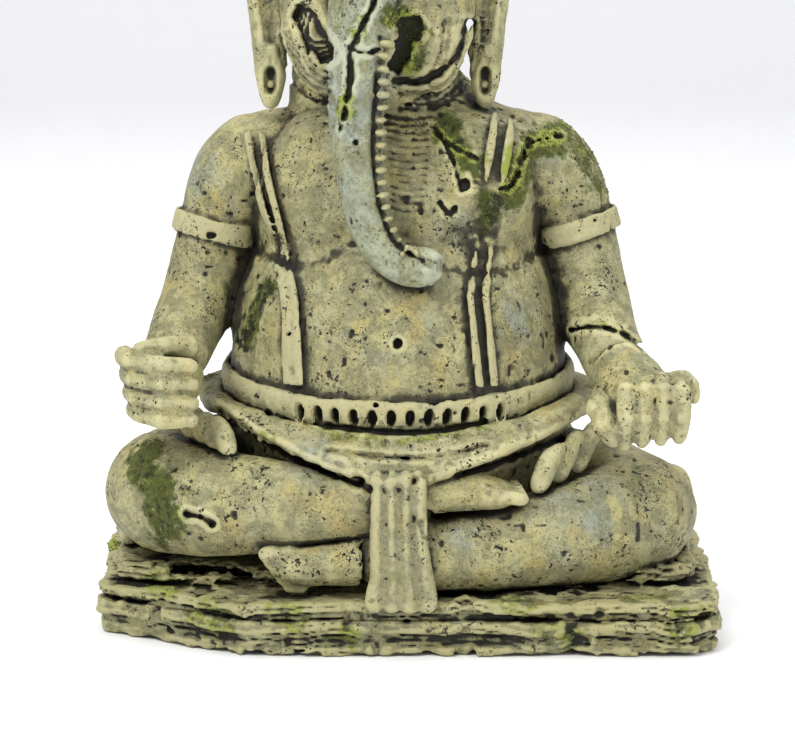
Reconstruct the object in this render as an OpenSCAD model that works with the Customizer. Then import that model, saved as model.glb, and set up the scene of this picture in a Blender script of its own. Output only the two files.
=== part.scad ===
// Seated elephant-headed idol on a layered rock base, built up from separate cast pieces.
// +X is the viewer's right, the front faces -Y, and the underside of the base is at z = 0.
// "right" and "left" in the names are the figure's own, so the right side lies at -X.

/* [Base] */
// Width of the rock base
base_w = 140; // [134:1:150]
// Depth of the rock base
base_d = 90; // [88:1:98]
// Height of the lower rock slab
slab_h = 8; // [6:0.5:9]
// Height of the broken layer on top of the slab
cap_h = 4; // [3:0.5:4]
// Height of the ledge that the knees and the back rest on
ledge_h = 4; // [3:0.5:5]
// How far the broken edges of the rock wander
rock_wander = 1; // [0:0.1:1.4]

/* [Figure] */
// Half the width of the belly at its widest
belly_w = 38; // [36:0.5:40]
// Depth of the belly in front of the body's middle
belly_d = 33; // [31:0.5:35]
// Height of the shoulder joints above the ground
shoulder_z = 106; // [103:0.5:108]
// Half the thickness of the upper arm
arm_r = 9.6; // [8.5:0.1:10.5]
// Half the thickness of the knee
knee_r = 14; // [13:0.1:15]
// Height of the right knee, which rides higher than the left
right_knee_z = 31; // [30:0.5:32]
// Height of the left knee
left_knee_z = 26; // [25.5:0.5:27]

/* [Head] */
// Half the width of the head at the cheeks
head_w = 22; // [20.5:0.5:23.5]
// Height of the middle of the head above the ground
head_z = 148; // [146:0.5:150]
// Half the thickness of the trunk at its root
trunk_r = 7.8; // [7:0.1:8.4]
// Number of ribs on the inner side of the trunk
rib_count = 19; // [12:1:22]
// Height of the crown
crown_h = 22; // [16:1:26]

/* [Dress] */
// Half the height of the belt
belt_hh = 4; // [3.2:0.1:4.6]
// Number of drops on the belt
drop_count = 12; // [9:1:15]
// Width of each cord of a shoulder strap
strap_w = 1.9; // [1.4:0.1:2.2]
// How far the shoulder straps stand off the skin
strap_thick = 1.4; // [0.8:0.1:2]
// Half the height of an armband
armband_hh = 2.8; // [2.2:0.1:3.4]

/* [Hidden] */

stone = "#cdc69a";
pale_stone = "#b9c0b4";
worn_stone = "#d9cfa2";
dark_stone = "#9a9270";

ground_z = slab_h + cap_h;  // top of the base, which the legs lie on
mid_x = -2;                 // the body's middle line
head_x = -6.5;              // the head's middle line

// ---- curves and rings -------------------------------------------------------------

function unit(v) = v / norm(v);
function place(s) = [s[0], s[1], s[2]];

// A smooth curve through the stations, each a place and two half widths
function curve_at(p, s) =
    let (n = len(p), i = min(floor(s), n - 2), t = s - i,
         a = p[max(i - 1, 0)], b = p[i], c = p[i + 1], d = p[min(i + 2, n - 1)])
    b + 0.5 * t * ((c - a) + t * ((2 * a - 5 * b + 4 * c - d) + t * (3 * (b - c) + d - a)));

function curve(p, steps) = [for (i = [0 : (len(p) - 1) * steps]) curve_at(p, i / steps)];

// Two stations that close an end with a round nose
function nose(s, way) =
    let (r = min(s[3], s[4]))
    [for (a = [48, 80]) concat(place(s) + way * r * sin(a), [s[3] * cos(a), s[4] * cos(a)])];

function back_to_front(p) = [for (i = [len(p) - 1 : -1 : 0]) p[i]];

function with_noses(p, first, last) =
    let (n = len(p),
         a = unit(place(p[0]) - place(p[1])),
         b = unit(place(p[n - 1]) - place(p[n - 2])))
    concat(first ? back_to_front(nose(p[0], a)) : [], p, last ? nose(p[n - 1], b) : []);

// A ring of points round station i, with its first half width across ref
function ring(p, i, ref, sides) =
    let (n = len(p),
         along = unit(place(p[min(i + 1, n - 1)]) - place(p[max(i - 1, 0)])),
         side = unit(cross(along, ref)),
         up = cross(side, along))
    [for (k = [0 : sides - 1])
        place(p[i]) + side * p[i][3] * cos(360 * k / sides) + up * p[i][4] * sin(360 * k / sides)];

// The solid between two rings
module skin(a, b) {
    hull()
        polyhedron(points = concat(a, b), faces = [[for (k = [0 : len(a) + len(b) - 1]) k]]);
}

// A rounded limb along its stations
module limb(stations, ref = [0, 1, 0], steps = 2, sides = 16, first = true, last = true) {
    p = with_noses(curve(stations, steps), first, last);
    for (i = [0 : len(p) - 2])
        skin(ring(p, i, ref, sides), ring(p, i + 1, ref, sides));
}

// ---- rock base --------------------------------------------------------------------

// Outline of the base, with its front right corner (at -X) broken off
base_corners = [[-70, -20], [-36, -44], [64, -44], [70, -37], [70, 41], [63, 46.4], [-62, 46.4], [-70, 38]];

function fit_base(c) = [c[0] * base_w / 140, c[1] * base_d / 90];

// The outline with every side broken into short lengths that wander in and out
function broken(corners, inset, phase, bits) =
    [for (i = [0 : len(corners) - 1], j = [0 : bits - 1])
        let (a = fit_base(corners[i]), b = fit_base(corners[(i + 1) % len(corners)]),
             p = a + (b - a) * j / bits,
             out = unit(p),
             wander = rock_wander * (sin(phase + 97 * i + 61 * j) + sin(2 * phase + 151 * j)) / 2)
        p - out * (inset + wander)];

module rock_layer(z, h, inset, phase, bits = 7) {
    translate([0, 0, z])
        linear_extrude(h)
            polygon(broken(base_corners, inset, phase, bits));
}

module base_slab() {
    color(dark_stone) {
        layer = slab_h / 3;
        rock_layer(0, layer, 1.4, 20);
        rock_layer(layer, layer, 2.4, 140);
        rock_layer(2 * layer, layer, 1.2, 260);
    }
}

module base_cap() {
    color(stone) {
        layer = cap_h / 2;
        rock_layer(slab_h, layer, 2.6, 75);
        rock_layer(slab_h + layer, layer, 1.6, 200);
    }
}

// The ledge stands back from the front, so that the shins lie on the base itself
ledge_corners = [[-67, -18], [-50, -27], [52, -27], [67, -20], [67, 33], [56, 41], [-56, 41], [-67, 30]];

module seat_ledge() {
    color(dark_stone)
        difference() {
            union() {
                translate([0, 0, ground_z])
                    linear_extrude(ledge_h / 2)
                        polygon(broken(ledge_corners, 0.6, 310, 6));
                translate([0, 0, ground_z + ledge_h / 2])
                    linear_extrude(ledge_h / 2)
                        polygon(broken(ledge_corners, 2, 35, 6));
            }
            torso_shape();
            right_leg_shape();
            left_leg_shape();
        }
}

// ---- body -------------------------------------------------------------------------

// Stations up the body: the middle, then half the width and half the depth
body_line = [
    [mid_x, 8, ground_z, belly_w - 4, 26],
    [mid_x, 6, 30, belly_w - 1, 28],
    [mid_x, 1, 46, belly_w, belly_d - 1],
    [mid_x, -1, 60, belly_w, belly_d],
    [mid_x, -1, 73, belly_w - 2, belly_d - 2],
    [mid_x, 2, 85, belly_w - 6, belly_d - 6],
    [mid_x, 2, 96, belly_w - 5, belly_d - 6],
    [mid_x, 4, 107, belly_w - 9, belly_d - 11],
    [mid_x, 5, 115, belly_w - 16, belly_d - 16],
    [mid_x - 1, 4, 123, 14, 13]
];

body_rings = curve(body_line, 2);
half_width_table = [for (s = body_rings) [s[2], s[3]]];
half_depth_table = [for (s = body_rings) [s[2], s[4]]];
middle_table = [for (s = body_rings) [s[2], s[1]]];

// A point on the body's surface, or standing off it, at an angle from the viewer's right
function on_body(angle, z, off) =
    [mid_x + (lookup(z, half_width_table) + off) * cos(angle),
     lookup(z, middle_table) + (lookup(z, half_depth_table) + off) * sin(angle),
     z];

// The same, found from how far it lies from the middle line
function on_front(x, z, off) =
    let (share = (x - mid_x) / (lookup(z, half_width_table) + off))
    [x,
     lookup(z, middle_table) - (lookup(z, half_depth_table) + off) * sqrt(max(0.02, 1 - share * share)),
     z];

module torso_shape() {
    limb(body_line, steps = 2, sides = 28, first = false);
}

// The breasts swell over the crease above the belly
module breast(x) {
    limb([[x, -12, 91, 12, 9], [x, -12.5, 98, 14, 11], [x, -8, 108, 12, 9]], sides = 12);
}

// The shoulders are joined by a rounded yoke across the top of the back
module yoke() {
    limb([[-30, 6, shoulder_z, 10, 9], [mid_x, 8, shoulder_z + 4, 11, 10], [26, 6, shoulder_z, 10, 9]],
         ref = [0, 0, 1], sides = 12);
}

module chest_shape() {
    torso_shape();
    breast(mid_x - 17);
    breast(mid_x + 17);
    yoke();
}

module torso() {
    color(stone)
        difference() {
            chest_shape();
            navel = on_front(mid_x, 69, 1);
            translate(navel)
                sphere(r = 1.6, $fn = 16);
        }
}

// ---- legs and feet ----------------------------------------------------------------

module knee(at, r) {
    translate(at)
        sphere(r = r, $fn = 20);
}

module right_leg_shape() {
    z = right_knee_z;
    knee([-54.5, -11, z], knee_r - 0.2);
    limb([[-18, 14, z + 1, 15, 13], [-40, 2, z + 1.5, 15, knee_r], [-54, -10, z, knee_r - 0.5, knee_r]],
         ref = [0, 0, 1]);
    limb([[-55, -13, z, knee_r - 1, knee_r], [-44, -24, z, 11.5, 12.5], [-28, -31, z + 0.5, 9, 10.5],
          [-12, -33.5, z + 1, 7, 7.5], [1, -33, z + 2, 5.5, 6]],
         ref = [0, 0, 1]);
}

module left_leg_shape() {
    z = left_knee_z;
    knee([52, -11, z], knee_r - 0.4);
    limb([[14, 14, z + 4, 15, 13], [36, 2, z + 3, 15, knee_r], [51, -10, z, knee_r - 0.5, knee_r]],
         ref = [0, 0, 1]);
    limb([[53, -13, z, knee_r - 1, knee_r - 0.5], [42, -24, z - 1, 11.5, 12.5], [26, -30, z - 3, 9.5, 10.5],
          [10, -32.5, z - 5, 8, 8.5], [-6, -33.5, z - 6, 6.5, 7]],
         ref = [0, 0, 1]);
}

module above(z) {
    intersection() {
        children();
        translate([-base_w, -base_d, z])
            cube([2 * base_w, 2 * base_d, 100]);
    }
}

module right_leg() {
    color(stone)
        difference() {
            right_leg_shape();
            torso_shape();
        }
}

module left_leg() {
    color(stone)
        above(ground_z)
            difference() {
                left_leg_shape();
                torso_shape();
                right_leg_shape();
            }
}

// Five toes side by side, big toe first, each a short round limb
module toes(start, step, reach, r) {
    for (i = [0 : 4]) {
        a = start + step * i;
        size = r * (1 - 0.11 * i);
        limb([concat(a, [size, size]), concat(a + reach * (1 - 0.08 * i), [size, size])],
             ref = [0, 0.2, 1], steps = 1, sides = 6);
    }
}

module right_foot_shape() {
    z = right_knee_z;
    limb([[1, -33, z + 2.5, 5, 5], [9, -33, z + 4.5, 5.6, 5],
          [17, -33, z + 4, 6.4, 4], [21, -33, z + 3.5, 6.6, 3.2]],
         ref = [0, 0, 1], sides = 12);
    toes([21, -38, z + 4], [0.2, 2.5, 0.3], [4.2, 0, -0.6], 1.8);
}

module right_foot() {
    color(stone)
        difference() {
            right_foot_shape();
            right_leg_shape();
            left_leg_shape();
        }
}

module left_foot_shape() {
    z = left_knee_z - 6;
    limb([[-7, -33.5, z, 6, 6], [-14, -34, z - 0.3, 6, 5.8],
          [-22, -34.5, z - 0.8, 6.2, 5], [-26, -34.5, z - 1, 6, 4]],
         ref = [0, 0, 1], sides = 12);
    toes([-25, -36.5, z + 2], [0.6, 0.4, -2.1], [-5.6, -0.4, 0], 2.3);
}

module left_foot() {
    color(stone)
        above(ground_z)
            difference() {
                left_foot_shape();
                left_leg_shape();
                right_leg_shape();
            }
}

// ---- arms and hands ---------------------------------------------------------------

right_arm_line = [
    [-32, 4, shoulder_z, 11, 11.4], [-38, 4, shoulder_z - 6, 11, 11.6],
    [-42, 4, 90, arm_r - 0.2, arm_r + 0.8], [-44.6, 3, 80, arm_r - 0.5, arm_r + 0.4],
    [-47, 0, 73, arm_r - 1.1, arm_r], [-49.6, -9, 67, 8, 8.8], [-51.5, -19, 62, 7.4, 7.6]];

left_arm_line = [
    [26.6, 4, shoulder_z, 11, 11.4], [33, 4, shoulder_z - 6, 11, 11.6],
    [37.5, 4, 90, arm_r - 0.2, arm_r + 0.8], [40.2, 3, 80, arm_r - 0.5, arm_r + 0.4],
    [42, 0, 73, arm_r - 1.1, arm_r], [44, -9, 66.5, 7.8, 8.6], [46.4, -19, 61, 7.2, 7.4]];

module arm_shape(line) {
    limb(line, ref = [0, 1, 0.3], sides = 16);
}

module right_arm() {
    color(stone)
        difference() {
            arm_shape(right_arm_line);
            chest_shape();
            right_hand_shape();
        }
}

module left_arm() {
    color(stone)
        difference() {
            arm_shape(left_arm_line);
            chest_shape();
            left_hand_shape();
        }
}

// A finger of three short bones
module finger(a, b, c, d, r) {
    limb([concat(a, [r, r]), concat(b, [r * 1.05, r * 1.05]),
          concat(c, [r, r]), concat(d, [r * 0.8, r * 0.8])],
         ref = [0.3, 1, 0.4], steps = 1, sides = 8);
}

// The fist lies on its side on the knee: four fingers stacked and the thumb over them
module right_hand_shape() {
    limb([[-52, -20, 61.6, 6.8, 7], [-53, -24, 60, 8.4, 8.6], [-53.5, -28, 58, 8, 8.4]],
         ref = [0, 0, 1], steps = 1, sides = 14, first = false);
    for (i = [0 : 3]) {
        z = 64.4 - 4 * i;
        reach = 0.7 * i;
        finger([-62 + reach, -27, z], [-60 + reach, -34, z + 0.2], [-53.4, -37.4, z - 0.4],
               [-47, -35.5, z - 1], 2.35 - 0.05 * i);
    }
    finger([-46, -24, 64.5], [-48, -30, 67], [-53, -33.5, 67.6], [-58, -34, 67], 2.4);
}

module right_hand() {
    color(pale_stone)
        difference() {
            right_hand_shape();
            right_leg_shape();
        }
}

// The open hand lies on the knee with its fingers curled down over it
module left_hand_shape() {
    limb([[46.6, -20, 60.4, 6.8, 7], [49, -25, 58, 8.6, 7], [51.5, -29, 54.6, 9, 7.4]],
         ref = [0, 0, 1], steps = 1, sides = 14, first = false);
    for (i = [0 : 3]) {
        x = 48 + 4 * i;
        finger([x - 0.6, -29, 59.4], [x, -34.6, 58], [x, -36.6, 52.4], [x - 0.4, -34, 46 + 0.5 * i], 2.25);
    }
    finger([44, -27, 57], [42.6, -32, 54], [43.2, -34.5, 50], [45, -34.5, 47.4], 3);
    finger([58, -27, 59], [60.8, -30, 60], [62.4, -32, 58.6], [62.8, -32.6, 56], 2);
}

module left_hand() {
    color(pale_stone)
        difference() {
            left_hand_shape();
            left_leg_shape();
        }
}

// An armband is a short sleeve round the arm, cut to stand on its skin
module armband(line, tilt) {
    at = curve_at(line, 2.15);
    axis = unit(place(curve_at(line, 2.4)) - place(curve_at(line, 1.9)) + [tilt, 0, 0]);
    half = armband_hh;
    difference() {
        sleeve(at, axis, [[-half, 0.8], [-half + 0.7, 1.5], [half - 0.7, 1.5], [half, 0.8]]);
        sleeve(at, axis, [[-half - 1, 0], [half + 1, 0]]);
    }
}

// Rings along the axis, each a step along it and a distance off the arm
module sleeve(at, axis, steps) {
    limb([for (s = steps) concat(place(at) + axis * s[0], [at[3] + s[1], at[4] + s[1]])],
         ref = [0, 1, 0.3], steps = 1, sides = 20, first = false, last = false);
}

module right_armband() {
    color(worn_stone)
        difference() {
            armband(right_arm_line, 0.3);
            chest_shape();
        }
}

module left_armband() {
    color(worn_stone)
        difference() {
            armband(left_arm_line, -0.15);
            chest_shape();
        }
}

// ---- dress ------------------------------------------------------------------------

// Stations of a strap: the place across, the height, and half the space between its two cords
right_strap_line = [
    [-35, 118, 1.6],
    [-32.6, 104, 1.6],
    [-29.5, 93, 1.4],
    [-25.7, 76, 1.3],
    [-24.9, 58, 1.3]];

left_strap_line = [
    [22, 118, 2],
    [20, 107, 1.9],
    [17.6, 92, 1.6],
    [15.6, 78, 1.7],
    [17.7, 58, 1.7]];

// The cords are cut from a block this deep, which ends at the front of the ears
strap_front = -42;
strap_back = -5.6;

// One cord seen from the front, as deep as the figure
module strap_cord(line, side) {
    middle = [for (s = line) [s[0] + side * s[2], s[1]]];
    translate([0, strap_back, 0])
        rotate([90, 0, 0])
            linear_extrude(height = strap_back - strap_front)
                polygon(concat([for (m = middle) m - [strap_w / 2, 0]],
                               [for (i = [len(middle) - 1:-1:0]) middle[i] + [strap_w / 2, 0]]));
}

// The cords lie on the skin: the body moved forward by their thickness, less the body itself
module strap(line, arm_line, ear_x, side) {
    difference() {
        intersection() {
            union() {
                strap_cord(line, -1);
                strap_cord(line, 1);
            }
            translate([side * strap_thick / 2, -strap_thick, strap_thick / 4])
                union() {
                    chest_shape();
                    arm_shape(arm_line);
                }
        }
        chest_shape();
        arm_shape(arm_line);
        belt_shape();
        limb(ear_line(ear_x, side), steps = 1, sides = 14);
    }
}

module right_strap() {
    color(worn_stone) strap(right_strap_line, right_arm_line, right_lobe, -1);
}

module left_strap() {
    color(worn_stone) strap(left_strap_line, left_arm_line, left_lobe, 1);
}

// The belt dips at the front and rises over the hips
function belt_z(angle) = 56 + 4 * sin(angle);

module belt_shape() {
    turn = 15;
    for (a = [0 : turn : 360 - turn])
        skin(belt_section(a), belt_section(a + turn));
}

// A flat oval across the belt at one angle, leaning as the body leans there
function belt_section(angle) =
    let (z = belt_z(angle),
         lean = (on_body(angle, z + belt_hh, 0) - on_body(angle, z - belt_hh, 0)) / 2)
    [for (k = [0 : 30 : 330])
        on_body(angle, z, 0.6) + cloth_out(angle) * 1.6 * cos(k) + lean * sin(k)];

module belt() {
    color(worn_stone)
        difference() {
            belt_shape();
            torso_shape();
        }
}

drop_turn = 6;  // degrees from one drop to the next

module belt_drops() {
    color(dark_stone)
        difference() {
            for (i = [0 : drop_count - 1]) {
                a = 271 + drop_turn * (i - (drop_count - 1) / 2);
                top = on_body(a, belt_z(a) + 1.6, 2.2);
                low = on_body(a, belt_z(a) - 2, 2.4);
                hull() {
                    translate(top)
                        sphere(r = 0.8, $fn = 6);
                    translate(low)
                        sphere(r = 1.5, $fn = 6);
                }
            }
            belt_shape();
        }
}

// The waistcloth spreads from under the belt over the lap. A rib runs down it at each angle.
module cloth_rib(angle) {
    wave = 0.8 * sin(angle * 9);
    hull() {
        translate(on_body(angle, belt_z(angle) - belt_hh + 1, 0.4))
            sphere(r = 1.6, $fn = 6);
        translate(on_body(angle, 52, 0) + [0, 0, cloth_low(angle) - 52 + wave]
                  + cloth_out(angle) * (5.5 + wave))
            sphere(r = 2.2, $fn = 6);
    }
}

// Height of the hem, lowest at the front
function cloth_low(angle) = 51 - 12 * pow(max(0, -sin(angle)), 4);
function cloth_out(angle) = [cos(angle), sin(angle), 0];

module waistcloth_shape() {
    turn = 12;
    for (a = [0 : turn : 360 - turn])
        hull() {
            cloth_rib(a);
            cloth_rib(a + turn);
        }
}

module waistcloth() {
    color(stone)
        difference() {
            waistcloth_shape();
            torso_shape();
            belt_shape();
            right_leg_shape();
            left_leg_shape();
        }
}

// Four long pleats hang in front of the shins, over the edge of the base
module sash_pleat(i) {
    top = -6.4 + 3.1 * i;
    low = -7 + 3.8 * i;
    limb([[top, -40, 40, 1.6, 2.6], [top, -42, 33, 1.7, 2.6], [top * 0.9 + low * 0.1, -42.6, 25, 1.8, 2.4],
          [low * 0.9, -42.8, 18, 2, 2.2], [low, -43.6, 14.6, 2.3, 2], [low * 1.04, -44.2, 12, 2.4, 1.8]],
         ref = [0, 1, 0], steps = 1, sides = 8);
}

module sash_shape() {
    for (i = [0 : 3])
        sash_pleat(i);
}

module front_sash() {
    color(worn_stone)
        difference() {
            sash_shape();
            right_leg_shape();
            left_leg_shape();
            right_foot_shape();
            left_foot_shape();
            waistcloth_shape();
            base_cap();
            base_slab();
        }
}

// Slanted pleats of the cloth over the thigh
module hip_pleats_shape(start, step, way, count) {
    for (i = [0 : count - 1]) {
        a = start + step * i;
        limb([concat(a, [2.4, 2.4]), concat(a + way / 2 + [0, 0, 1], [2.7, 2.7]),
              concat(a + way, [2.4, 2.4])],
             ref = [0, 1, 0.2], steps = 1, sides = 8);
    }
}

module right_hip_pleats() {
    color(stone)
        difference() {
            hip_pleats_shape([-50, -13, 50], [2.8, -3.6, -0.6], [2.6, -5, -6], 4);
            torso_shape();
            right_leg_shape();
            waistcloth_shape();
            right_hand_shape();
        }
}

module left_hip_pleats() {
    color(stone)
        difference() {
            hip_pleats_shape([42, -17, 46], [-4.4, -4.4, -1.4], [-4, -5, -7], 3);
            torso_shape();
            left_leg_shape();
            waistcloth_shape();
            left_hand_shape();
        }
}

// The cloth gathered behind the knees and the back
drape_line = [[-63, -2, 28, 4, 13], [-60, 13, 26, 5, 11], [-46, 26, 24, 6, 10], [-24, 34, 24, 6, 10],
              [0, 37, 25, 6, 11], [24, 34, 24, 6, 10], [44, 26, 23, 6, 9], [58, 13, 23, 5, 10],
              [62, -2, 24, 4, 11]];

module rear_drape() {
    color(stone)
        above(ground_z + ledge_h)
            difference() {
                limb(drape_line, ref = [0, 0, 1], steps = 2, sides = 14);
                torso_shape();
                right_leg_shape();
                left_leg_shape();
            }
}

// ---- head -------------------------------------------------------------------------

crown_foot_z = head_z + 19;

head_line = [
    [head_x, -4, head_z - 27, head_w - 9, 12],
    [head_x, -5, head_z - 20, head_w - 3, 16],
    [head_x, -6, head_z - 10, head_w, 19],
    [head_x, -5, head_z, head_w, 20],
    [head_x, -4, head_z + 10, head_w - 1, 19],
    [head_x, -2, head_z + 19, head_w - 5, 16],
    [head_x, -1, head_z + 25, head_w - 12, 10]];

// The neck is as wide as the ears are apart
neck_line = [
    [head_x, 2, 106, 21, 12],
    [head_x, 1, 118, 20.5, 11],
    [head_x, 2, 130, 20, 11],
    [head_x, 4, 142, 19, 10]];

module head_shape() {
    limb(head_line, steps = 2, sides = 22);
    limb(neck_line, steps = 1, sides = 12);
    for (side = [-1, 1]) {
        cheek = head_x + side * (head_w - 10);
        limb([[cheek, -14, head_z - 22, 7, 6], [cheek + side, -16, head_z - 14, 9, 8],
              [cheek, -16, head_z - 3, 8, 7]], steps = 1, sides = 12);
        brow = head_x + side * 10;
        limb([[brow - side * 5, -20, head_z + 8, 3, 3], [brow + side * 3, -19, head_z + 10, 3.4, 3],
              [brow + side * 8, -15, head_z + 6, 2.6, 3]], ref = [0, 0, 1], steps = 1, sides = 8);
    }
}

module head() {
    color(stone)
        difference() {
            head_shape();
            chest_shape();
            // the flat seat of the crown
            translate([head_x - 30, -32, crown_foot_z])
                cube([60, 60, 20]);
            // the hollow on each side of the trunk's root, and the eye above it
            for (side = [-1, 1]) {
                limb([[head_x + side * 10.5, -27, head_z - 12, 3, 3.6],
                      [head_x + side * 11, -26, head_z - 5, 3.6, 4]],
                     steps = 1, sides = 10);
                translate([head_x + side * 14, -19.6, head_z + 4])
                    sphere(r = 2.6, $fn = 16);
            }
        }
}

trunk_line = [
    [head_x - 1, -18, head_z + 12, trunk_r - 1, trunk_r],
    [head_x - 2, -24, head_z + 3, trunk_r + 0.2, trunk_r],
    [-10, -28.5, head_z - 9, trunk_r - 0.4, trunk_r - 0.6],
    [-11, -30.5, 126, trunk_r - 1.2, trunk_r - 1.4],
    [-10.9, -31, 114, trunk_r - 1.8, trunk_r - 2],
    [-10, -31.5, 103, trunk_r - 2.5, trunk_r - 2.6],
    [-7.6, -32, 93, trunk_r - 3.1, trunk_r - 3],
    [-4, -32.5, 87.2, 4.5, 4.6],
    [0.6, -33, 84.6, 4.4, 4.6],
    [4, -33, 85, 4.7, 4.8]];

module trunk_shape() {
    limb(trunk_line, steps = 2, sides = 16);
}

module trunk() {
    color(pale_stone)
        difference() {
            trunk_shape();
            head_shape();
            chest_shape();
        }
}

// Ribs stacked along the inner side of the trunk, from near the root round to the tip.
// They touch one another, so they are one comb that swells and narrows.
rib_start = 2.3;
rib_end = 8.5;

function rib_station(i) =
    let (s = rib_start + (rib_end - rib_start) * i / (2 * rib_count),
         at = curve_at(trunk_line, s),
         along = unit(place(curve_at(trunk_line, s + 0.1)) - place(curve_at(trunk_line, s - 0.1))),
         inner = unit(cross(along, [0, 1, 0])),
         swell = i % 2 == 0 ? 0 : 0.8)
    concat(place(at) + inner * (at[3] - 1.3) + [0, -0.7, 0], [1.5 + swell, 3.4 + swell]);

module trunk_ribs() {
    color(worn_stone)
        difference() {
            limb([for (i = [0 : 2 * rib_count]) rib_station(i)], steps = 1, sides = 8);
            trunk_shape();
        }
}

// An ear hangs beside the cheek, wide at the top and drawn out into a slotted lobe
function ear_line(x, side) = [
    [x, -5, 118.8, 2.5, 2.8],
    [x, -5, 124, 3.7, 3.2],
    [x, -3.4, 132, 4.4, 3.6],
    [x + side * 0.6, 0, 141, 5.2, 3.6],
    [x + side * 2, 3, 151, 7.4, 3.4],
    [x + side * 2.8, 5, 160, 8.6, 3],
    [x + side * 1.4, 6, 168, 5, 2.6]];

function ear_hollow(x, side) = [
    [x, -7.2, 132, 1.6, 1.4],
    [x + side * 0.6, -4, 141, 2.8, 2],
    [x + side * 2.2, -1, 151, 4.8, 2],
    [x + side * 2.8, 1.6, 159, 5.4, 1.8]];

right_lobe = -30.2;
left_lobe = 17.4;
lobe_slot_z = 123;

// The slot in the lobe is a recess, closed at the back
module lobe_slot(x) {
    limb([[x, -8.6, lobe_slot_z - 1.8, 1.5, 3.6], [x, -8.6, lobe_slot_z + 1.8, 1.5, 3.6]],
         steps = 1, sides = 10);
}

module ear(x, side) {
    difference() {
        limb(ear_line(x, side), sides = 14);
        limb(ear_hollow(x, side), steps = 1, sides = 10);
        lobe_slot(x);
        head_shape();
        chest_shape();
        arm_shape(side < 0 ? right_arm_line : left_arm_line);
        ear_stud_shape(x);
    }
}

module right_ear() {
    color(stone) ear(right_lobe, -1);
}

module left_ear() {
    color(stone) ear(left_lobe, 1);
}

// A small stud sits at the back of each lobe's slot
module ear_stud_shape(x) {
    translate([x, -6, lobe_slot_z - 1])
        sphere(r = 1.1, $fn = 16);
}

module right_ear_stud() {
    color(worn_stone) ear_stud_shape(right_lobe);
}

module left_ear_stud() {
    color(worn_stone) ear_stud_shape(left_lobe);
}

// ---- crown ------------------------------------------------------------------------

crown_r = head_w - 4;
crown_y = -3;
band_h = 5;
finial_h = 7;
dome_h = crown_h - band_h - finial_h;

module crown_band() {
    color(worn_stone)
        translate([head_x, crown_y, crown_foot_z])
            rotate_extrude($fn = 48)
                polygon([[0, 0], [crown_r - 0.6, 0], [crown_r + 0.6, 1], [crown_r + 0.6, band_h - 1.4],
                         [crown_r - 0.4, band_h - 0.4], [crown_r - 1.6, band_h], [0, band_h]]);
}

// Two stepped tiers, each a rolled edge over a short neck
module crown() {
    tier = dome_h / 2;
    color(stone)
        translate([head_x, crown_y, crown_foot_z + band_h])
            rotate_extrude($fn = 48)
                polygon([[0, 0], [crown_r - 3.4, 0], [crown_r - 2.6, tier * 0.5], [crown_r - 4.4, tier],
                         [crown_r - 7.4, tier * 1.1], [crown_r - 6.8, tier * 1.6],
                         [crown_r - 9, tier * 2], [0, tier * 2]]);
}

module crown_finial() {
    color(worn_stone)
        translate([head_x, crown_y, crown_foot_z + band_h + dome_h])
            rotate_extrude($fn = 40)
                polygon([[0, 0], [5, 0], [6, finial_h * 0.2], [5, finial_h * 0.4],
                         [3.6, finial_h * 0.5], [3.2, finial_h * 0.7], [1.6, finial_h * 0.92],
                         [0, finial_h]]);
}

base_slab();
base_cap();
seat_ledge();
torso();
right_leg();
left_leg();
right_foot();
left_foot();
right_arm();
left_arm();
right_hand();
left_hand();
right_armband();
left_armband();
right_strap();
left_strap();
belt();
belt_drops();
waistcloth();
front_sash();
right_hip_pleats();
left_hip_pleats();
rear_drape();
head();
trunk();
trunk_ribs();
right_ear();
left_ear();
right_ear_stud();
left_ear_stud();
crown_band();
crown();
crown_finial();
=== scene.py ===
import math

import bmesh
import bpy
import numpy as np
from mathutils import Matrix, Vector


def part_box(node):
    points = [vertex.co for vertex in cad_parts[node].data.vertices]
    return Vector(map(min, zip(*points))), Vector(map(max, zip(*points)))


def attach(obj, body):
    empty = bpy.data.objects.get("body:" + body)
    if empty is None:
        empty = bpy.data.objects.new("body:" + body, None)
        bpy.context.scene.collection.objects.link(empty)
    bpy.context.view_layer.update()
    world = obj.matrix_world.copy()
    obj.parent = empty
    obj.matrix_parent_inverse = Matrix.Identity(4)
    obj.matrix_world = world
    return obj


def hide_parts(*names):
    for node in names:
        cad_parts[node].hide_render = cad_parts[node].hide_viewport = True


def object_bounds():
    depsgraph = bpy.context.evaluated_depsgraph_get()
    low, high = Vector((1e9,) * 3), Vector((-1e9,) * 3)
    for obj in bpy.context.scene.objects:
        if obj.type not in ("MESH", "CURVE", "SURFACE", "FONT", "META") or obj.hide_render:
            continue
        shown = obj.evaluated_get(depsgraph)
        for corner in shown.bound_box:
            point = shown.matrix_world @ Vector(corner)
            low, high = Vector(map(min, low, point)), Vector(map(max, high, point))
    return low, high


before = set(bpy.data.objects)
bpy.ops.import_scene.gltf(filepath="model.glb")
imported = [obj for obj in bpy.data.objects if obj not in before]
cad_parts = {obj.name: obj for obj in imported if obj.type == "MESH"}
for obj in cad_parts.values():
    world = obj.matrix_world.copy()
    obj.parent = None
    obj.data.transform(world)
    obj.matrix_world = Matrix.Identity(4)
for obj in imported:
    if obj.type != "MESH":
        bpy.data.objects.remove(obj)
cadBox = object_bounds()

import openvdb
from mathutils import Vector

scene = bpy.context.scene
print("frame loaded:", len(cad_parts), "nodes")


# camera and drawing board

view = {
    "distance": 900.0,      # mm from the aim point
    "elevation": 10.0,      # degrees above the horizon
    "aim": (-2.0, 0.0, 55.5),
    "frameWidth": 180.3,    # mm across at the aim point
}

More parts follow.
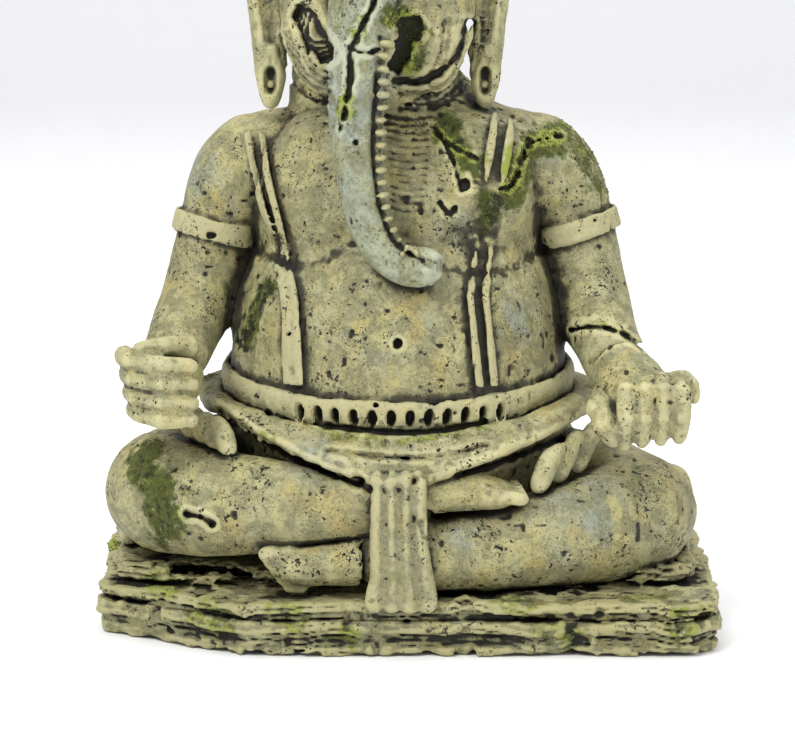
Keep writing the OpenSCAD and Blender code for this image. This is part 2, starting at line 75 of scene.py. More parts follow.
rise = math.radians(view["elevation"])
sight = np.array([0.0, math.cos(rise), -math.sin(rise)])      # the way the camera looks
boardUp = np.array([0.0, math.sin(rise), math.cos(rise)])
eye = np.array(view["aim"]) - sight * view["distance"]


def makeCamera():
    cam = bpy.data.cameras.new("camera")
    ob = bpy.data.objects.new("camera", cam)
    scene.collection.objects.link(ob)
    cam.sensor_width = 36.0
    cam.lens = 36.0 * view["distance"] / view["frameWidth"]
    cam.clip_start = 0.01
    ob.location = Vector(eye / 1000)
    ob.rotation_euler = Vector(sight).to_track_quat("-Z", "Y").to_euler()
    scene.camera = ob


# Fronts are drawn on a board through the aim point, square to the sight line: u across, v up, in mm.
def onBoard(points):
    fromEye = points - eye
    scale = view["distance"] / (fromEye @ sight)
    return fromEye[:, 0] * scale + view["aim"][0], (fromEye @ boardUp) * scale


# the clay: distances on one lattice, in mm, negative inside

clay = {
    "step": 0.45,      # lattice spacing
    "margin": 4.0,     # room left round the object
    "reach": 5.4,      # how far from a surface the distance is known
    "skin": 2.2,       # how deep the details may go
    "adapt": 0.02,     # how readily flat places get bigger faces
}

step, reach = clay["step"], clay["reach"]
low = np.array(cadBox[0]) * 1000 - clay["margin"]
size = np.ceil((np.array(cadBox[1]) * 1000 + clay["margin"] - low) / step).astype(int) + 1


def blur(a, sigma, spacing=step):
    r = int(math.ceil(2.4 * sigma / spacing))
    if sigma < 0.3 * spacing or r < 1:
        return a
    kernel = np.exp(-0.5 * (np.arange(-r, r + 1) * spacing / sigma) ** 2).astype(np.float32)
    kernel /= kernel.sum()
    for axis in range(3):
        wide = np.pad(a, [(r, r) if k == axis else (0, 0) for k in range(3)], mode="edge")
        out = np.zeros_like(a)
        for i, w in enumerate(kernel):
            cut = [slice(None)] * 3
            cut[axis] = slice(i, i + a.shape[axis])
            out += w * wide[tuple(cut)]
        a = out
    return a


def meshArrays(mesh):
    mesh.calc_loop_triangles()
    co = np.empty(len(mesh.vertices) * 3, np.float32)
    mesh.vertices.foreach_get("co", co)
    tri = np.empty(len(mesh.loop_triangles) * 3, np.int32)
    mesh.loop_triangles.foreach_get("vertices", tri)
    return co.reshape(-1, 3) * 1000, tri.reshape(-1, 3)


# The distance to a mesh on the part of the lattice round it
def distanceBlock(mesh, soften):
    co, tri = meshArrays(mesh)
    a = np.maximum(np.floor((co.min(0) - reach - low) / step).astype(int), 0)
    b = np.minimum(np.ceil((co.max(0) + reach - low) / step).astype(int) + 1, size)
    grid = openvdb.FloatGrid.createLevelSetFromPolygons(
        ((co - low) / step).astype(np.float32), triangles=tri.astype(np.uint32),
        transform=openvdb.createLinearTransform(voxelSize=1.0), halfWidth=reach / step)
    block = np.empty(tuple(b - a), np.float32)
    grid.copyToArray(block, ijk=tuple(int(x) for x in a))
    block *= step
    return tuple(slice(int(p), int(q)) for p, q in zip(a, b)), blur(block, soften)


def smoothMin(a, b, k):
    h = np.maximum(k - np.abs(a - b), 0) / k
    return np.minimum(a, b) - h * h * k * 0.25


# Smooth random values from -1 to 1 at each point
def lumps(points, scale, seed):
    rng = np.random.default_rng(seed)
    table = rng.random((32, 32, 32), dtype=np.float32) * 2 - 1
    q = points / scale
    cell = np.floor(q).astype(np.int32)
    f = (q - cell).astype(np.float32)
    f = f * f * (3 - 2 * f)
    cell &= 31
    after = (cell + 1) & 31
    out = np.zeros(len(points), np.float32)
    for corner in range(8):
        pick = [after if corner >> k & 1 else cell for k in range(3)]
        weight = np.ones(len(points), np.float32)
        for k in range(3):
            weight *= f[:, k] if corner >> k & 1 else 1 - f[:, k]
        out += weight * table[pick[0][:, 0], pick[1][:, 1], pick[2][:, 2]]
    return out


def roughness(points, scale, seed, octaves=3):
    return sum(lumps(points, scale / 2 ** k, seed + k) / 2 ** k for k in range(octaves))


def smoothStep(x, a, b):
    t = np.clip((x - a) / (b - a), 0, 1)
    return t * t * (3 - 2 * t)


# Distance from board places to a path drawn on the board
def toPath(u, v, path):
    path = np.array(path, np.float32)
    if len(path) == 1:
        return np.hypot(u - path[0, 0], v - path[0, 1])
    best = np.full(len(u), 1e6, np.float32)
    for a, b in zip(path[:-1], path[1:]):
        d = b - a
        t = np.clip(((u - a[0]) * d[0] + (v - a[1]) * d[1]) / (d @ d), 0, 1)
        best = np.minimum(best, np.hypot(u - a[0] - t * d[0], v - a[1] - t * d[1]))
    return best


def rounded(path, rounds=2):
    path = np.array(path, float)
    for _ in range(rounds):      # corners cut twice make a drawn line a curve
        if len(path) < 3:
            break
        q = path[:-1] * 0.75 + path[1:] * 0.25
        r = path[:-1] * 0.25 + path[1:] * 0.75
        path = np.vstack([path[:1], np.stack([q, r], 1).reshape(-1, 2), path[-1:]])
    return path


# The figure's parts, joined in this order
groups = [
    {"blend": 2.6, "after": 0.9, "nodes": {
        "torso": 2.4, "right_leg": 1.6, "left_leg": 1.6, "right_arm": 1.4, "left_arm": 1.4,
        "head": 1.6}},
    {"blend": 1.2, "after": 0, "nodes": {"right_ear": 0.25, "left_ear": 0.25}},
    {"blend": 0.8, "after": 0, "nodes": {"trunk": 1.0, "right_foot": 0.5, "left_foot": 0.5}},
    {"blend": 0.5, "after": 0, "nodes": {"right_hand": 0.3, "left_hand": 0.3}},
    {"blend": 0.6, "after": 0, "nodes": {
        "waistcloth": 0.8, "belt": 0.6, "right_armband": 0.4, "left_armband": 0.4,
        "front_sash": 0.4, "right_hip_pleats": 0.6,
        "left_hip_pleats": 0.6, "rear_drape": 1.0, "belt_drops": 0.2,
        "right_ear_stud": 0, "left_ear_stud": 0, "crown_band": 0.3, "crown": 0.5,
        "crown_finial": 0.4}},
    {"blend": 0.3, "after": 0, "nodes": {"right_strap": 0.2, "left_strap": 0.2, "trunk_ribs": 0.15}},
    {"blend": 0.8, "after": 0, "nodes": {"seat_ledge": 0.5, "base_cap": 0.4, "base_slab": 0.4}},
]

# Small node tree helpers
def addNode(tree, kind, settings=None, **inputs):
    made = tree.nodes.new(kind)
    for key, value in (settings or {}).items():
        setattr(made, key, value)
    for key, value in inputs.items():
        socket = made.inputs[int(key[1:])] if key[1:].isdigit() else made.inputs[key.replace("_", " ")]
        if isinstance(value, bpy.types.NodeSocket):
            tree.links.new(value, socket)
        else:
            socket.default_value = value
    return made


def newGeometryTree(name, sizes):
    tree = bpy.data.node_groups.new(name, "GeometryNodeTree")
    tree.interface.new_socket("Geometry", in_out="INPUT", socket_type="NodeSocketGeometry")
    for label, (kind, value) in sizes.items():
        socket = tree.interface.new_socket(label, in_out="INPUT", socket_type="NodeSocket" + kind)
        if kind != "Material":
            socket.default_value = value
    tree.interface.new_socket("Geometry", in_out="OUTPUT", socket_type="NodeSocketGeometry")
    return tree, tree.nodes.new("NodeGroupInput"), tree.nodes.new("NodeGroupOutput")


def runTree(host, tree, values):
    modifier = host.modifiers.new(tree.name, "NODES")
    modifier.node_group = tree
    for item in tree.interface.items_tree:
        if item.in_out == "INPUT" and item.name in values:
            modifier[item.identifier] = values[item.name]
    bpy.context.view_layer.update()
    seen = host.evaluated_get(bpy.context.evaluated_depsgraph_get())
    mesh = bpy.data.meshes.new_from_object(seen)
    host.modifiers.remove(modifier)
    return mesh


def lineObject(name, points, radii, closed=False):
    curve = bpy.data.curves.new(name, "CURVE")
    curve.dimensions = "3D"
    spline = curve.splines.new("POLY")
    spline.points.add(len(points) - 1)
    for spot, place, radius in zip(spline.points, points, radii):
        spot.co = (*[c / 1000 for c in place], 1)
        spot.radius = radius
    spline.use_cyclic_u = closed
    host = bpy.data.objects.new(name, curve)
    scene.collection.objects.link(host)
    return host


def dropHost(host):
    data = host.data
    bpy.data.objects.remove(host)
    if isinstance(data, bpy.types.Curve):
        bpy.data.curves.remove(data)


trunkRibs = {
    "count": 19,
    "across": 2.2, "deep": 4.2, "thick": 0.98,      # mm, half sizes of the widest rib
    "forward": 2.4,                                  # mm, how far they stand in front of the trunk's middle
    "inset": 1.0,                                    # mm, how far the ribs sink in the trunk
    "line": [(-7.5, -18, 160, 6.8), (-8.5, -24, 151, 8), (-10, -28.5, 139, 7.4), (-11, -30.5, 126, 6.6),
             (-10.9, -31, 114, 6), (-10, -31.5, 103, 5.3), (-7.6, -32, 93, 4.7), (-4, -32.5, 87.2, 4.5),
             (0.6, -33, 84.6, 4.4), (4, -33, 85, 4.7)],
    "from": 2.4, "to": 8.6,
}


def curveAt(line, s):
    i = min(int(s), len(line) - 2)
    t = s - i
    a, b, c, d = (np.array(line[min(max(k, 0), len(line) - 1)], float) for k in (i - 1, i, i + 1, i + 2))
    return b + 0.5 * t * ((c - a) + t * ((2 * a - 5 * b + 4 * c - d) + t * (3 * (b - c) + d - a)))


def makeTrunkRibs():
    k = trunkRibs
    points, radii = [], []
    for s in np.linspace(k["from"], k["to"], 60):
        at = curveAt(k["line"], s)
        along = curveAt(k["line"], s + 0.05)[:3] - curveAt(k["line"], s - 0.05)[:3]
        inner = np.cross(along, (0, 1, 0))
        points.append(at[:3] + inner / np.linalg.norm(inner) * (at[3] - k["inset"]) + (0, -k["forward"], 0))
        radii.append(0.78 + 0.22 * (at[3] - 4.4) / 3)
    tree, given, result = newGeometryTree("ribComb", {
        "Count": ("Int", 18), "Across": ("Float", 0.002), "Deep": ("Float", 0.0025),
        "Thick": ("Float", 0.001), "Seed": ("Int", 3), "Material": ("Material", None)})
    spots = addNode(tree, "GeometryNodeCurveToPoints", {"mode": "COUNT"}, Curve=given.outputs["Geometry"],
                    Count=given.outputs["Count"])
    shape = addNode(tree, "ShaderNodeCombineXYZ", X=given.outputs["Across"], Y=given.outputs["Deep"],
                    Z=given.outputs["Thick"])
    ball = addNode(tree, "GeometryNodeMeshUVSphere", Segments=14, Rings=9, Radius=1.0)
    rib = addNode(tree, "GeometryNodeTransform", Geometry=ball.outputs["Mesh"], Scale=shape.outputs[0])
    turn = addNode(tree, "FunctionNodeAlignRotationToVector", {"axis": "Z"}, Vector=spots.outputs["Tangent"])
    face = addNode(tree, "FunctionNodeAlignRotationToVector", {"axis": "Y", "pivot_axis": "Z"},
                   Rotation=turn.outputs[0], Vector=(0, 1, 0))
    wobble = addNode(tree, "FunctionNodeRandomValue", {"data_type": "FLOAT"}, i2=0.9, i3=1.08,
                     Seed=given.outputs["Seed"])
    radius = addNode(tree, "GeometryNodeInputRadius")
    big = addNode(tree, "ShaderNodeMath", {"operation": "MULTIPLY"}, i0=radius.outputs[0],
                  i1=wobble.outputs[1])
    laid = addNode(tree, "GeometryNodeInstanceOnPoints", Points=spots.outputs["Points"],
                   Instance=rib.outputs[0], Rotation=face.outputs[0], Scale=big.outputs[0])
    whole = addNode(tree, "GeometryNodeRealizeInstances", Geometry=laid.outputs[0])
    coated = addNode(tree, "GeometryNodeSetMaterial", Geometry=whole.outputs[0],
                     Material=given.outputs["Material"])
    tree.links.new(coated.outputs[0], result.inputs[0])
    host = lineObject("ribLine", points, radii)
    mesh = runTree(host, tree, {"Count": k["count"], "Across": k["across"] / 1000, "Deep": k["deep"] / 1000,
                                "Thick": k["thick"] / 1000, "Seed": 3})
    dropHost(host)
    return mesh


beltDrops = {
    "tall": 2.6, "wide": 1.3,       # mm, half sizes of a drop
    "rim": 0.42,                    # mm, half thickness of its raised rim
    "taper": -0.2,                  # how much it narrows to the top, a minus to the bottom
    "deep": 1.8,                    # mm, depth of the hollow in it
}


def islandMiddles(mesh):
    co, tri = meshArrays(mesh)
    key = np.round(co, 3)
    spot, index = np.unique(key, axis=0, return_inverse=True)
    mark = np.arange(len(spot))
    tri = index.reshape(-1)[tri]
    while True:
        least = mark[tri].min(1)
        new = mark.copy()
        for k in range(3):
            np.minimum.at(new, tri[:, k], least)
        if (new == mark).all():
            break
        mark = new
    middles = [(spot[mark == m].min(0) + spot[mark == m].max(0)) / 2 for m in np.unique(mark)]
    return np.array(sorted(middles, key=lambda p: p[0]))


dropSpots = islandMiddles(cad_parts["belt_drops"].data)


def dropOutward(p):
    way = np.array([(p[0] + 2) * 0.75, p[1], 0.0])
    return way / np.linalg.norm(way)


def makeBeltDrops():
    k = beltDrops
    tree, given, result = newGeometryTree("dropRow", {
        "Count": ("Int", 13), "Wide": ("Float", 0.0018), "Tall": ("Float", 0.003), "Rim": ("Float", 0.0005),
        "Taper": ("Float", 0.35), "Material": ("Material", None)})
    spots = addNode(tree, "GeometryNodeCurveToPoints", {"mode": "COUNT"}, Curve=given.outputs["Geometry"],
                    Count=given.outputs["Count"])
    loop = addNode(tree, "GeometryNodeCurvePrimitiveCircle", Resolution=20, Radius=1.0)
    here = addNode(tree, "GeometryNodeInputPosition")
    part = addNode(tree, "ShaderNodeSeparateXYZ", Vector=here.outputs[0])
    lean = addNode(tree, "ShaderNodeMath", {"operation": "MULTIPLY"}, i0=part.outputs["Y"],
                   i1=given.outputs["Taper"])
    thin = addNode(tree, "ShaderNodeMath", {"operation": "SUBTRACT"}, i0=1.0, i1=lean.outputs[0])
    side = addNode(tree, "ShaderNodeMath", {"operation": "MULTIPLY"}, i0=part.outputs["X"],
                   i1=thin.outputs[0])
    across = addNode(tree, "ShaderNodeMath", {"operation": "MULTIPLY"}, i0=side.outputs[0],
                     i1=given.outputs["Wide"])
    high = addNode(tree, "ShaderNodeMath", {"operation": "MULTIPLY"}, i0=part.outputs["Y"],
                   i1=given.outputs["Tall"])
    spot = addNode(tree, "ShaderNodeCombineXYZ", X=across.outputs[0], Z=high.outputs[0])
    drop = addNode(tree, "GeometryNodeSetPosition", Geometry=loop.outputs[0], Position=spot.outputs[0])
    hoop = addNode(tree, "GeometryNodeCurvePrimitiveCircle", Resolution=8, Radius=given.outputs["Rim"])
    ring = addNode(tree, "GeometryNodeCurveToMesh", Curve=drop.outputs[0], Profile_Curve=hoop.outputs[0])
    flat = addNode(tree, "ShaderNodeVectorMath", {"operation": "MULTIPLY"}, i0=here.outputs[0],
                   i1=(0.75, 1, 0))
    turn = addNode(tree, "FunctionNodeAlignRotationToVector", {"axis": "Y", "pivot_axis": "Z"},
                   Vector=flat.outputs[0])
    laid = addNode(tree, "GeometryNodeInstanceOnPoints", Points=spots.outputs["Points"],
                   Instance=ring.outputs[0], Rotation=turn.outputs[0])
    whole = addNode(tree, "GeometryNodeRealizeInstances", Geometry=laid.outputs[0])
    coated = addNode(tree, "GeometryNodeSetMaterial", Geometry=whole.outputs[0],
                     Material=given.outputs["Material"])
    tree.links.new(coated.outputs[0], result.inputs[0])
    host = lineObject("dropLine", [p - 0.1 * dropOutward(p) for p in dropSpots], [1] * len(dropSpots))
    mesh = runTree(host, tree, {"Count": len(dropSpots), "Wide": k["wide"] / 1000, "Tall": k["tall"] / 1000,
                                "Rim": k["rim"] / 1000, "Taper": k["taper"]})
    dropHost(host)
    return mesh


crownTrim = {
    "beads": 30, "bead": 1.25,            # how many round the band, and their radius in mm
    "petals": 18, "petal": (2.5, 1.3, 3.6),  # how many round each tier, and half sizes in mm
}


def makeCrownTrim(node, count, half, drop, out):
    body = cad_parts[node].data
    lowest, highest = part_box(node)
    middle = (Vector(lowest) + Vector(highest)) / 2
    radius = (highest[0] - lowest[0]) / 2 * 1000 + out
    ring = [(middle[0] * 1000 + radius * math.cos(2 * math.pi * i / count),
             middle[1] * 1000 + radius * math.sin(2 * math.pi * i / count), lowest[2] * 1000 + drop)
            for i in range(count)]
    tree, given, result = newGeometryTree(node + "Trim", {
        "Count": ("Int", count), "Size": ("Vector", (0.001, 0.001, 0.001)), "Middle": ("Vector", (0, 0, 0)),
        "Material": ("Material", None)})
    spots = addNode(tree, "GeometryNodeCurveToPoints", {"mode": "COUNT"}, Curve=given.outputs["Geometry"],
                    Count=given.outputs["Count"])
    ball = addNode(tree, "GeometryNodeMeshUVSphere", Segments=12, Rings=8, Radius=1.0)
    bead = addNode(tree, "GeometryNodeTransform", Geometry=ball.outputs["Mesh"], Scale=given.outputs["Size"])
    here = addNode(tree, "GeometryNodeInputPosition")
    away = addNode(tree, "ShaderNodeVectorMath", {"operation": "SUBTRACT"}, i0=here.outputs[0],
                   i1=given.outputs["Middle"])
    flat = addNode(tree, "ShaderNodeVectorMath", {"operation": "MULTIPLY"}, i0=away.outputs[0], i1=(1, 1, 0))
    turn = addNode(tree, "FunctionNodeAlignRotationToVector", {"axis": "Y", "pivot_axis": "Z"},
                   Vector=flat.outputs[0])
    laid = addNode(tree, "GeometryNodeInstanceOnPoints", Points=spots.outputs["Points"],
                   Instance=bead.outputs[0], Rotation=turn.outputs[0])
    whole = addNode(tree, "GeometryNodeRealizeInstances", Geometry=laid.outputs[0])
    coated = addNode(tree, "GeometryNodeSetMaterial", Geometry=whole.outputs[0],
                     Material=given.outputs["Material"])
    tree.links.new(coated.outputs[0], result.inputs[0])
    host = lineObject(node + "Ring", ring, [1] * count, closed=True)
    trim = runTree(host, tree, {"Count": count, "Size": [h / 1000 for h in half], "Middle": list(middle)})
    dropHost(host)
    bm = bmesh.new()      # the band and its trim, one on the other
    bm.from_mesh(body)
    bmesh.ops.remove_doubles(bm, verts=bm.verts, dist=1e-6)
    bm.from_mesh(trim)
    mesh = bpy.data.meshes.new(node + "Shape")
    bm.to_mesh(mesh)
    bm.free()
    return mesh


form = np.full(tuple(size), reach, np.float32)      # the whole figure
nearest = np.full(tuple(size), reach, np.float32)   # to the nearest piece
second = np.full(tuple(size), reach, np.float32)    # to the one after it
owner = np.full(tuple(size), 255, np.uint8)
blocks = {}
ownShapes = {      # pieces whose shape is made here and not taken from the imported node
    "trunk_ribs": makeTrunkRibs(),
    "belt_drops": makeBeltDrops(),
    "crown_band": makeCrownTrim("crown_band", crownTrim["beads"], [crownTrim["bead"]] * 3, 2.6, -0.2),
    "crown": makeCrownTrim("crown", crownTrim["petals"], crownTrim["petal"], 4.2, -1.6),
}
print("ribs, drops and crown trim laid out")


def joinForms():
    for group in groups:
        for name, soften in group["nodes"].items():
            mesh = ownShapes.get(name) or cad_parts[name].data
            where, block = distanceBlock(mesh, soften)
            index = len(blocks)
            blocks[name] = (index, where, block)
            was = nearest[where]
            closer = block < was
            second[where] = np.where(closer, was, np.minimum(second[where], block))
            nearest[where] = np.where(closer, block, was)
            owner[where][closer] = index
            form[where] = smoothMin(form[where], block, group["blend"])
        if group["after"]:
            form[:] = blur(form, group["after"])


joinForms()
print("forms joined:", form.shape)


# Marks drawn on the board and pushed back on to the front: deep cuts in, and a minus deep stands out
jowlFolds = {      # lines laid between an inner and an outer one on each side of the trunk
    "right": {"inner": [(-2.5, 68), (3, 67), (7, 71), (8, 80)],
              "outer": [(-1, 59.5), (8, 59.5), (16, 66), (18, 80)], "lines": 7},
    "left": {"inner": [(-17.5, 69), (-20, 70), (-22, 73), (-24, 80)],
             "outer": [(-17, 61), (-22, 61.5), (-27, 66), (-30, 75)], "lines": 6},
}


def foldMarks():
    marks = []
    for side in jowlFolds.values():
        inner, outer = np.array(side["inner"], float), np.array(side["outer"], float)
        for i in range(side["lines"]):
            share = (i + 0.5) / side["lines"]
            marks.append({"path": inner * (1 - share) + outer * share, "wide": 0.5, "ragged": 0.45,
                          "deep": 0.75 - 0.3 * share + 0.15 * (i % 2)})
    return marks


faceMarks = foldMarks() + [
    {"path": [(-23, 81), (-21.5, 77.5), (-18.5, 73)], "wide": 3.0, "deep": 3.8,
     "shape": "hollow", "ragged": 0.9},
    {"path": [(0.8, 78.5)], "wide": 4.0, "deep": 2.6, "shape": "hollow", "ragged": 0.9},
    {"path": [(0, 75), (-2.3, 70)], "wide": 2.2, "deep": 2.2, "shape": "hollow", "ragged": 0.8},
    {"path": [(-2.5, 66.5), (3, 66), (8, 68.5), (12, 73), (14, 80)], "wide": 0.8, "deep": 1.3, "ragged": 0.4},
]
trunkMarks = [
    {"path": [(-7, 85), (-10.5, 78), (-13, 72.5), (-12.5, 66.5), (-14, 60), (-15, 55.5)], "wide": 0.75,
     "deep": 1.6, "shape": "crack", "ragged": 0.65},
    {"path": [(-13, 74), (-9.5, 72.5), (-6.5, 73.5)], "wide": 0.7, "deep": 1.4,
     "shape": "crack", "ragged": 0.4},
    {"path": [(-11.5, 52.5)], "wide": 0.8, "deep": 1.1, "shape": "hollow"},
    {"path": [(-6.7, 67.8), (-7.9, 52.4), (-6.9, 40.3), (-3.5, 29.7), (3.8, 25.7)], "wide": 0.5, "deep": 0.7,
     "ragged": 0.3},
]
chestMarks = [
    {"path": [(5.4, 57), (8.8, 52.5), (11.7, 45.3), (12.5, 42)], "wide": 0.6, "deep": 1.5, "shape": "crack",
     "ragged": 0.6},
    {"path": [(13.3, 42.7)], "wide": 1.5, "deep": 2.2, "shape": "hollow", "ragged": 0.7},
    {"path": [(8.8, 52.5), (14, 49.7), (16, 48.8)], "wide": 0.55, "deep": 1.2,
     "shape": "crack", "ragged": 0.4},
    {"path": [(20.6, 41.7), (23.8, 42.2), (26.2, 48), (27.1, 52.5), (34.8, 54)], "wide": 0.7, "deep": 1.6,
     "shape": "crack", "ragged": 0.7},
    {"path": [(7.6, 39), (9.5, 36), (11, 37.5)], "wide": 0.8, "deep": 1.2, "shape": "hollow", "ragged": 0.5},
    {"path": [(18, 40.5), (19, 36.5), (16.5, 31.5)], "wide": 5.0, "deep": 0.6, "ragged": 1.6},
    {"path": [(-32.5, 27.5), (-27.5, 24.5), (-20, 25), (-15.5, 27.5)], "wide": 1.4, "deep": 0.5,
     "ragged": 0.8},
    {"path": [(5, 25.5), (13.5, 22.5), (24, 23.5), (31.5, 28.5)], "wide": 1.4, "deep": 0.5, "ragged": 0.8},
    {"path": [(-36.5, 6.5), (-34.5, 13), (-31.5, 19.5)], "wide": 1.5, "deep": 0.9, "ragged": 1.0},
    {"path": [(-2, 6.8)], "wide": 1.25, "deep": 2.4, "shape": "hollow", "ragged": 0.2},
    {"path": [(37.5, 10), (44, 11), (49.5, 9), (53.5, 6)], "wide": 0.7, "deep": 1.4,
     "shape": "crack", "ragged": 0.5},
    {"path": [(38, 12.2), (44, 13.2), (50, 11)], "wide": 1.0, "deep": -0.5},
]
throatFolds = [
    {"path": [(-4.5 + 0.1 * i, 58.5 - 1.6 * i), (0, 57.6 - 1.6 * i), (5.5 - 0.15 * i, 58 - 1.6 * i)],
     "wide": 0.5, "deep": 0.42, "ragged": 0.25} for i in range(14)]
legMarks = [
    {"path": [(-58.5, -18.5), (-57, -25.5), (-55.5, -34.5)], "wide": 5.6, "deep": 0.6, "ragged": 1.8},
    {"path": [(-50, -31.5), (-47, -32.5), (-44, -34)], "wide": 0.9, "deep": 2.2,
     "shape": "crack", "ragged": 0.5},
    {"path": [(-52.5, -44.5), (-44, -44), (-35.5, -45.5)], "wide": 1.6, "deep": 2.2,
     "shape": "hollow", "ragged": 1.0},
]
clothMarks = [
    {"path": [(-44, -5.5), (-36.5, -11.5), (-24, -18.5), (-14, -22.5), (-4, -25.5), (7.5, -22), (19, -18.5),
              (35, -12.5), (41.5, -7.5)], "wide": 1.2, "deep": -0.9, "ragged": 0.5},
    {"path": [(-42, -8), (-34, -14), (-22, -20.8), (-8, -26)], "wide": 0.8, "deep": 1.2, "ragged": 0.4},
    {"path": [(12, -23), (22, -19.8), (35, -14.8)], "wide": 0.8, "deep": 1.2, "ragged": 0.4},
    {"path": [(-18, -11.8), (-4, -13.4), (8, -13.2), (18, -10.6)], "wide": 0.6, "deep": 0.9, "ragged": 0.3},
    {"path": [(-18, -17.4), (-4, -19.2), (8, -19), (18, -16.2)], "wide": 0.6, "deep": 0.9, "ragged": 0.3},
] + [      # shallow folds fan out from the sash knot to the hips
    {"path": [(-4 + 6 * side, -24), (-2 + side * (10 + 6 * i), -19.5 + 1.2 * i)], "wide": 0.9, "deep": 0.4,
     "ragged": 0.5} for side in (-1, 1) for i in range(4)]


def carve(points, depth, marks, seed=1):
    u, v = onBoard(points)
    for n, mark in enumerate(marks):
        path = rounded(mark["path"])
        wide, deep, ragged = mark["wide"], mark["deep"], mark.get("ragged", 0)
        a, b = path.min(0) - 3 * wide - ragged, path.max(0) + 3 * wide + ragged
        near = np.nonzero((u > a[0]) & (u < b[0]) & (v > a[1]) & (v < b[1])
                          & (points[:, 1] < mark.get("back", 8)))[0]
        d = toPath(u[near], v[near], path)
        if ragged:
            d = d + ragged * roughness(points[near], 1.8, seed * 100 + n, 3)
        shape = mark.get("shape", "round")
        if shape == "crack":
            cut = deep * (1 - smoothStep(d, 0, wide))
            cut -= 0.16 * deep * np.exp(-((d - 1.4 * wide) / (0.6 * wide)) ** 2)
        elif shape == "hollow":
            cut = deep * (1 - smoothStep(d, 0.62 * wide, wide))
        else:
            cut = deep * np.exp(-(d / wide) ** 2)
        depth[near] += cut


# Moss grows in patches drawn on the board
mossPatches = {
    "face": {"paths": [[(-7, 84), (-11, 77), (-12.5, 70), (-14, 58)]], "wide": 2.6, "full": 0.75},
    "hollow": {"paths": [[(-1.5, 81), (2, 78), (1, 71)]], "wide": 4.2, "full": 1},
    "chest": {"paths": [[(18, 41), (19, 36.5), (16.5, 31.5)], [(24, 40), (26, 50), (33, 53)],
                        [(8, 57), (12, 51), (16, 45)]], "wide": 4.4, "full": 0.95},
    "shoulder": {"paths": [[(36, 56), (40, 50), (44, 42)]], "wide": 4.5, "full": 0.7},
    "belly": {"paths": [[(-36.5, 6.5), (-34.5, 13), (-31.5, 19.5)]], "wide": 3.2, "full": 0.85},
    "forearm": {"paths": [[(38.5, 10), (44, 11), (50, 9.5), (54, 6)]], "wide": 1.8, "full": 0.6},
    "knee": {"paths": [[(-58.5, -19), (-57, -25.5), (-55, -34)]], "wide": 6.6, "full": 1},
    "belt": {"paths": [[(-18, -13), (-6, -15), (8, -14.5), (17, -12)]], "wide": 2.2, "full": 0.6},
    "hip": {"paths": [[(-36, -14.5), (-30, -14)]], "wide": 2.4, "full": 0.6},
    "base": {"paths": [[(-58, -47.5), (-53, -49)], [(-47, -55), (-42, -57)], [(-31, -53), (-24, -54)],
                       [(-18, -59.5), (-12, -60)], [(20, -51), (25, -53)], [(31, -58.5), (37, -59.5)],
                       [(50, -51), (56, -52)], [(62, -57), (66, -55)]],
             "wide": 4.6, "full": 0.62},
}


def mossAmount(points):
    u, v = onBoard(points)
    total = np.zeros(len(points), np.float32)
    for n, patch in enumerate(mossPatches.values()):
        for path in patch["paths"]:
            path = rounded(path)
            wide = patch["wide"]
            a, b = path.min(0) - 2 * wide, path.max(0) + 2 * wide
            near = np.nonzero((u > a[0]) & (u < b[0]) & (v > a[1]) & (v < b[1]) & (points[:, 1] < 10))[0]
            d = toPath(u[near], v[near], path)
            d = d + 0.6 * wide * roughness(points[near], 6.0, 400 + n, 5)
            grown = patch["full"] * (1 - smoothStep(d, 0.1 * wide, 1.15 * wide))
            total[near] = np.maximum(total[near], grown)
    # the back and the sides have their own, where the rock lies damp
    damp = roughness(points, 15.0, 77, 4) - 0.012 * np.maximum(points[:, 2] - 12, 0)
    hidden = smoothStep(points[:, 1], -20, 12)
    return np.maximum(total, hidden * smoothStep(damp, 0.28, 0.6) * 0.85)


stoneSkin = {
    "swell": 0.20, "swellSize": 9.0,
    "grain": 0.11, "grainSize": 3.0,
    "tooth": 0.07, "toothSize": 1.3,
    "pit": 0.5, "pitSize": 1.5,
    "dent": 0.5, "dentSize": 3.4,
}
rockSkin = {
    "layer": 1.35,        # thickness of a rock layer
    "step": 0.7,          # how far the layers stand past each other
    "split": 0.9,         # depth of the splits between them
    "lumpy": 0.5, "lumpySize": 4.0,
    "sway": 1.6,          # how far the layers wander up and down
    "leaf": 0.8,          # thickness of the thin leaves inside a layer
    "chip": 1.1,          # depth of the chipped places
}


def stoneRelief(p):
    k = stoneSkin
    cut = k["swell"] * lumps(p, k["swellSize"], 11)
    cut += k["grain"] * lumps(p, k["grainSize"], 12) + k["tooth"] * lumps(p, k["toothSize"], 13)
    worn = 0.12 * lumps(p, 16.0, 14)
    cut += k["pit"] * smoothStep(lumps(p, k["pitSize"], 15) + worn, 0.66, 0.88)
    cut += k["dent"] * smoothStep(lumps(p, k["dentSize"], 16) + worn, 0.80, 0.98)
    return cut


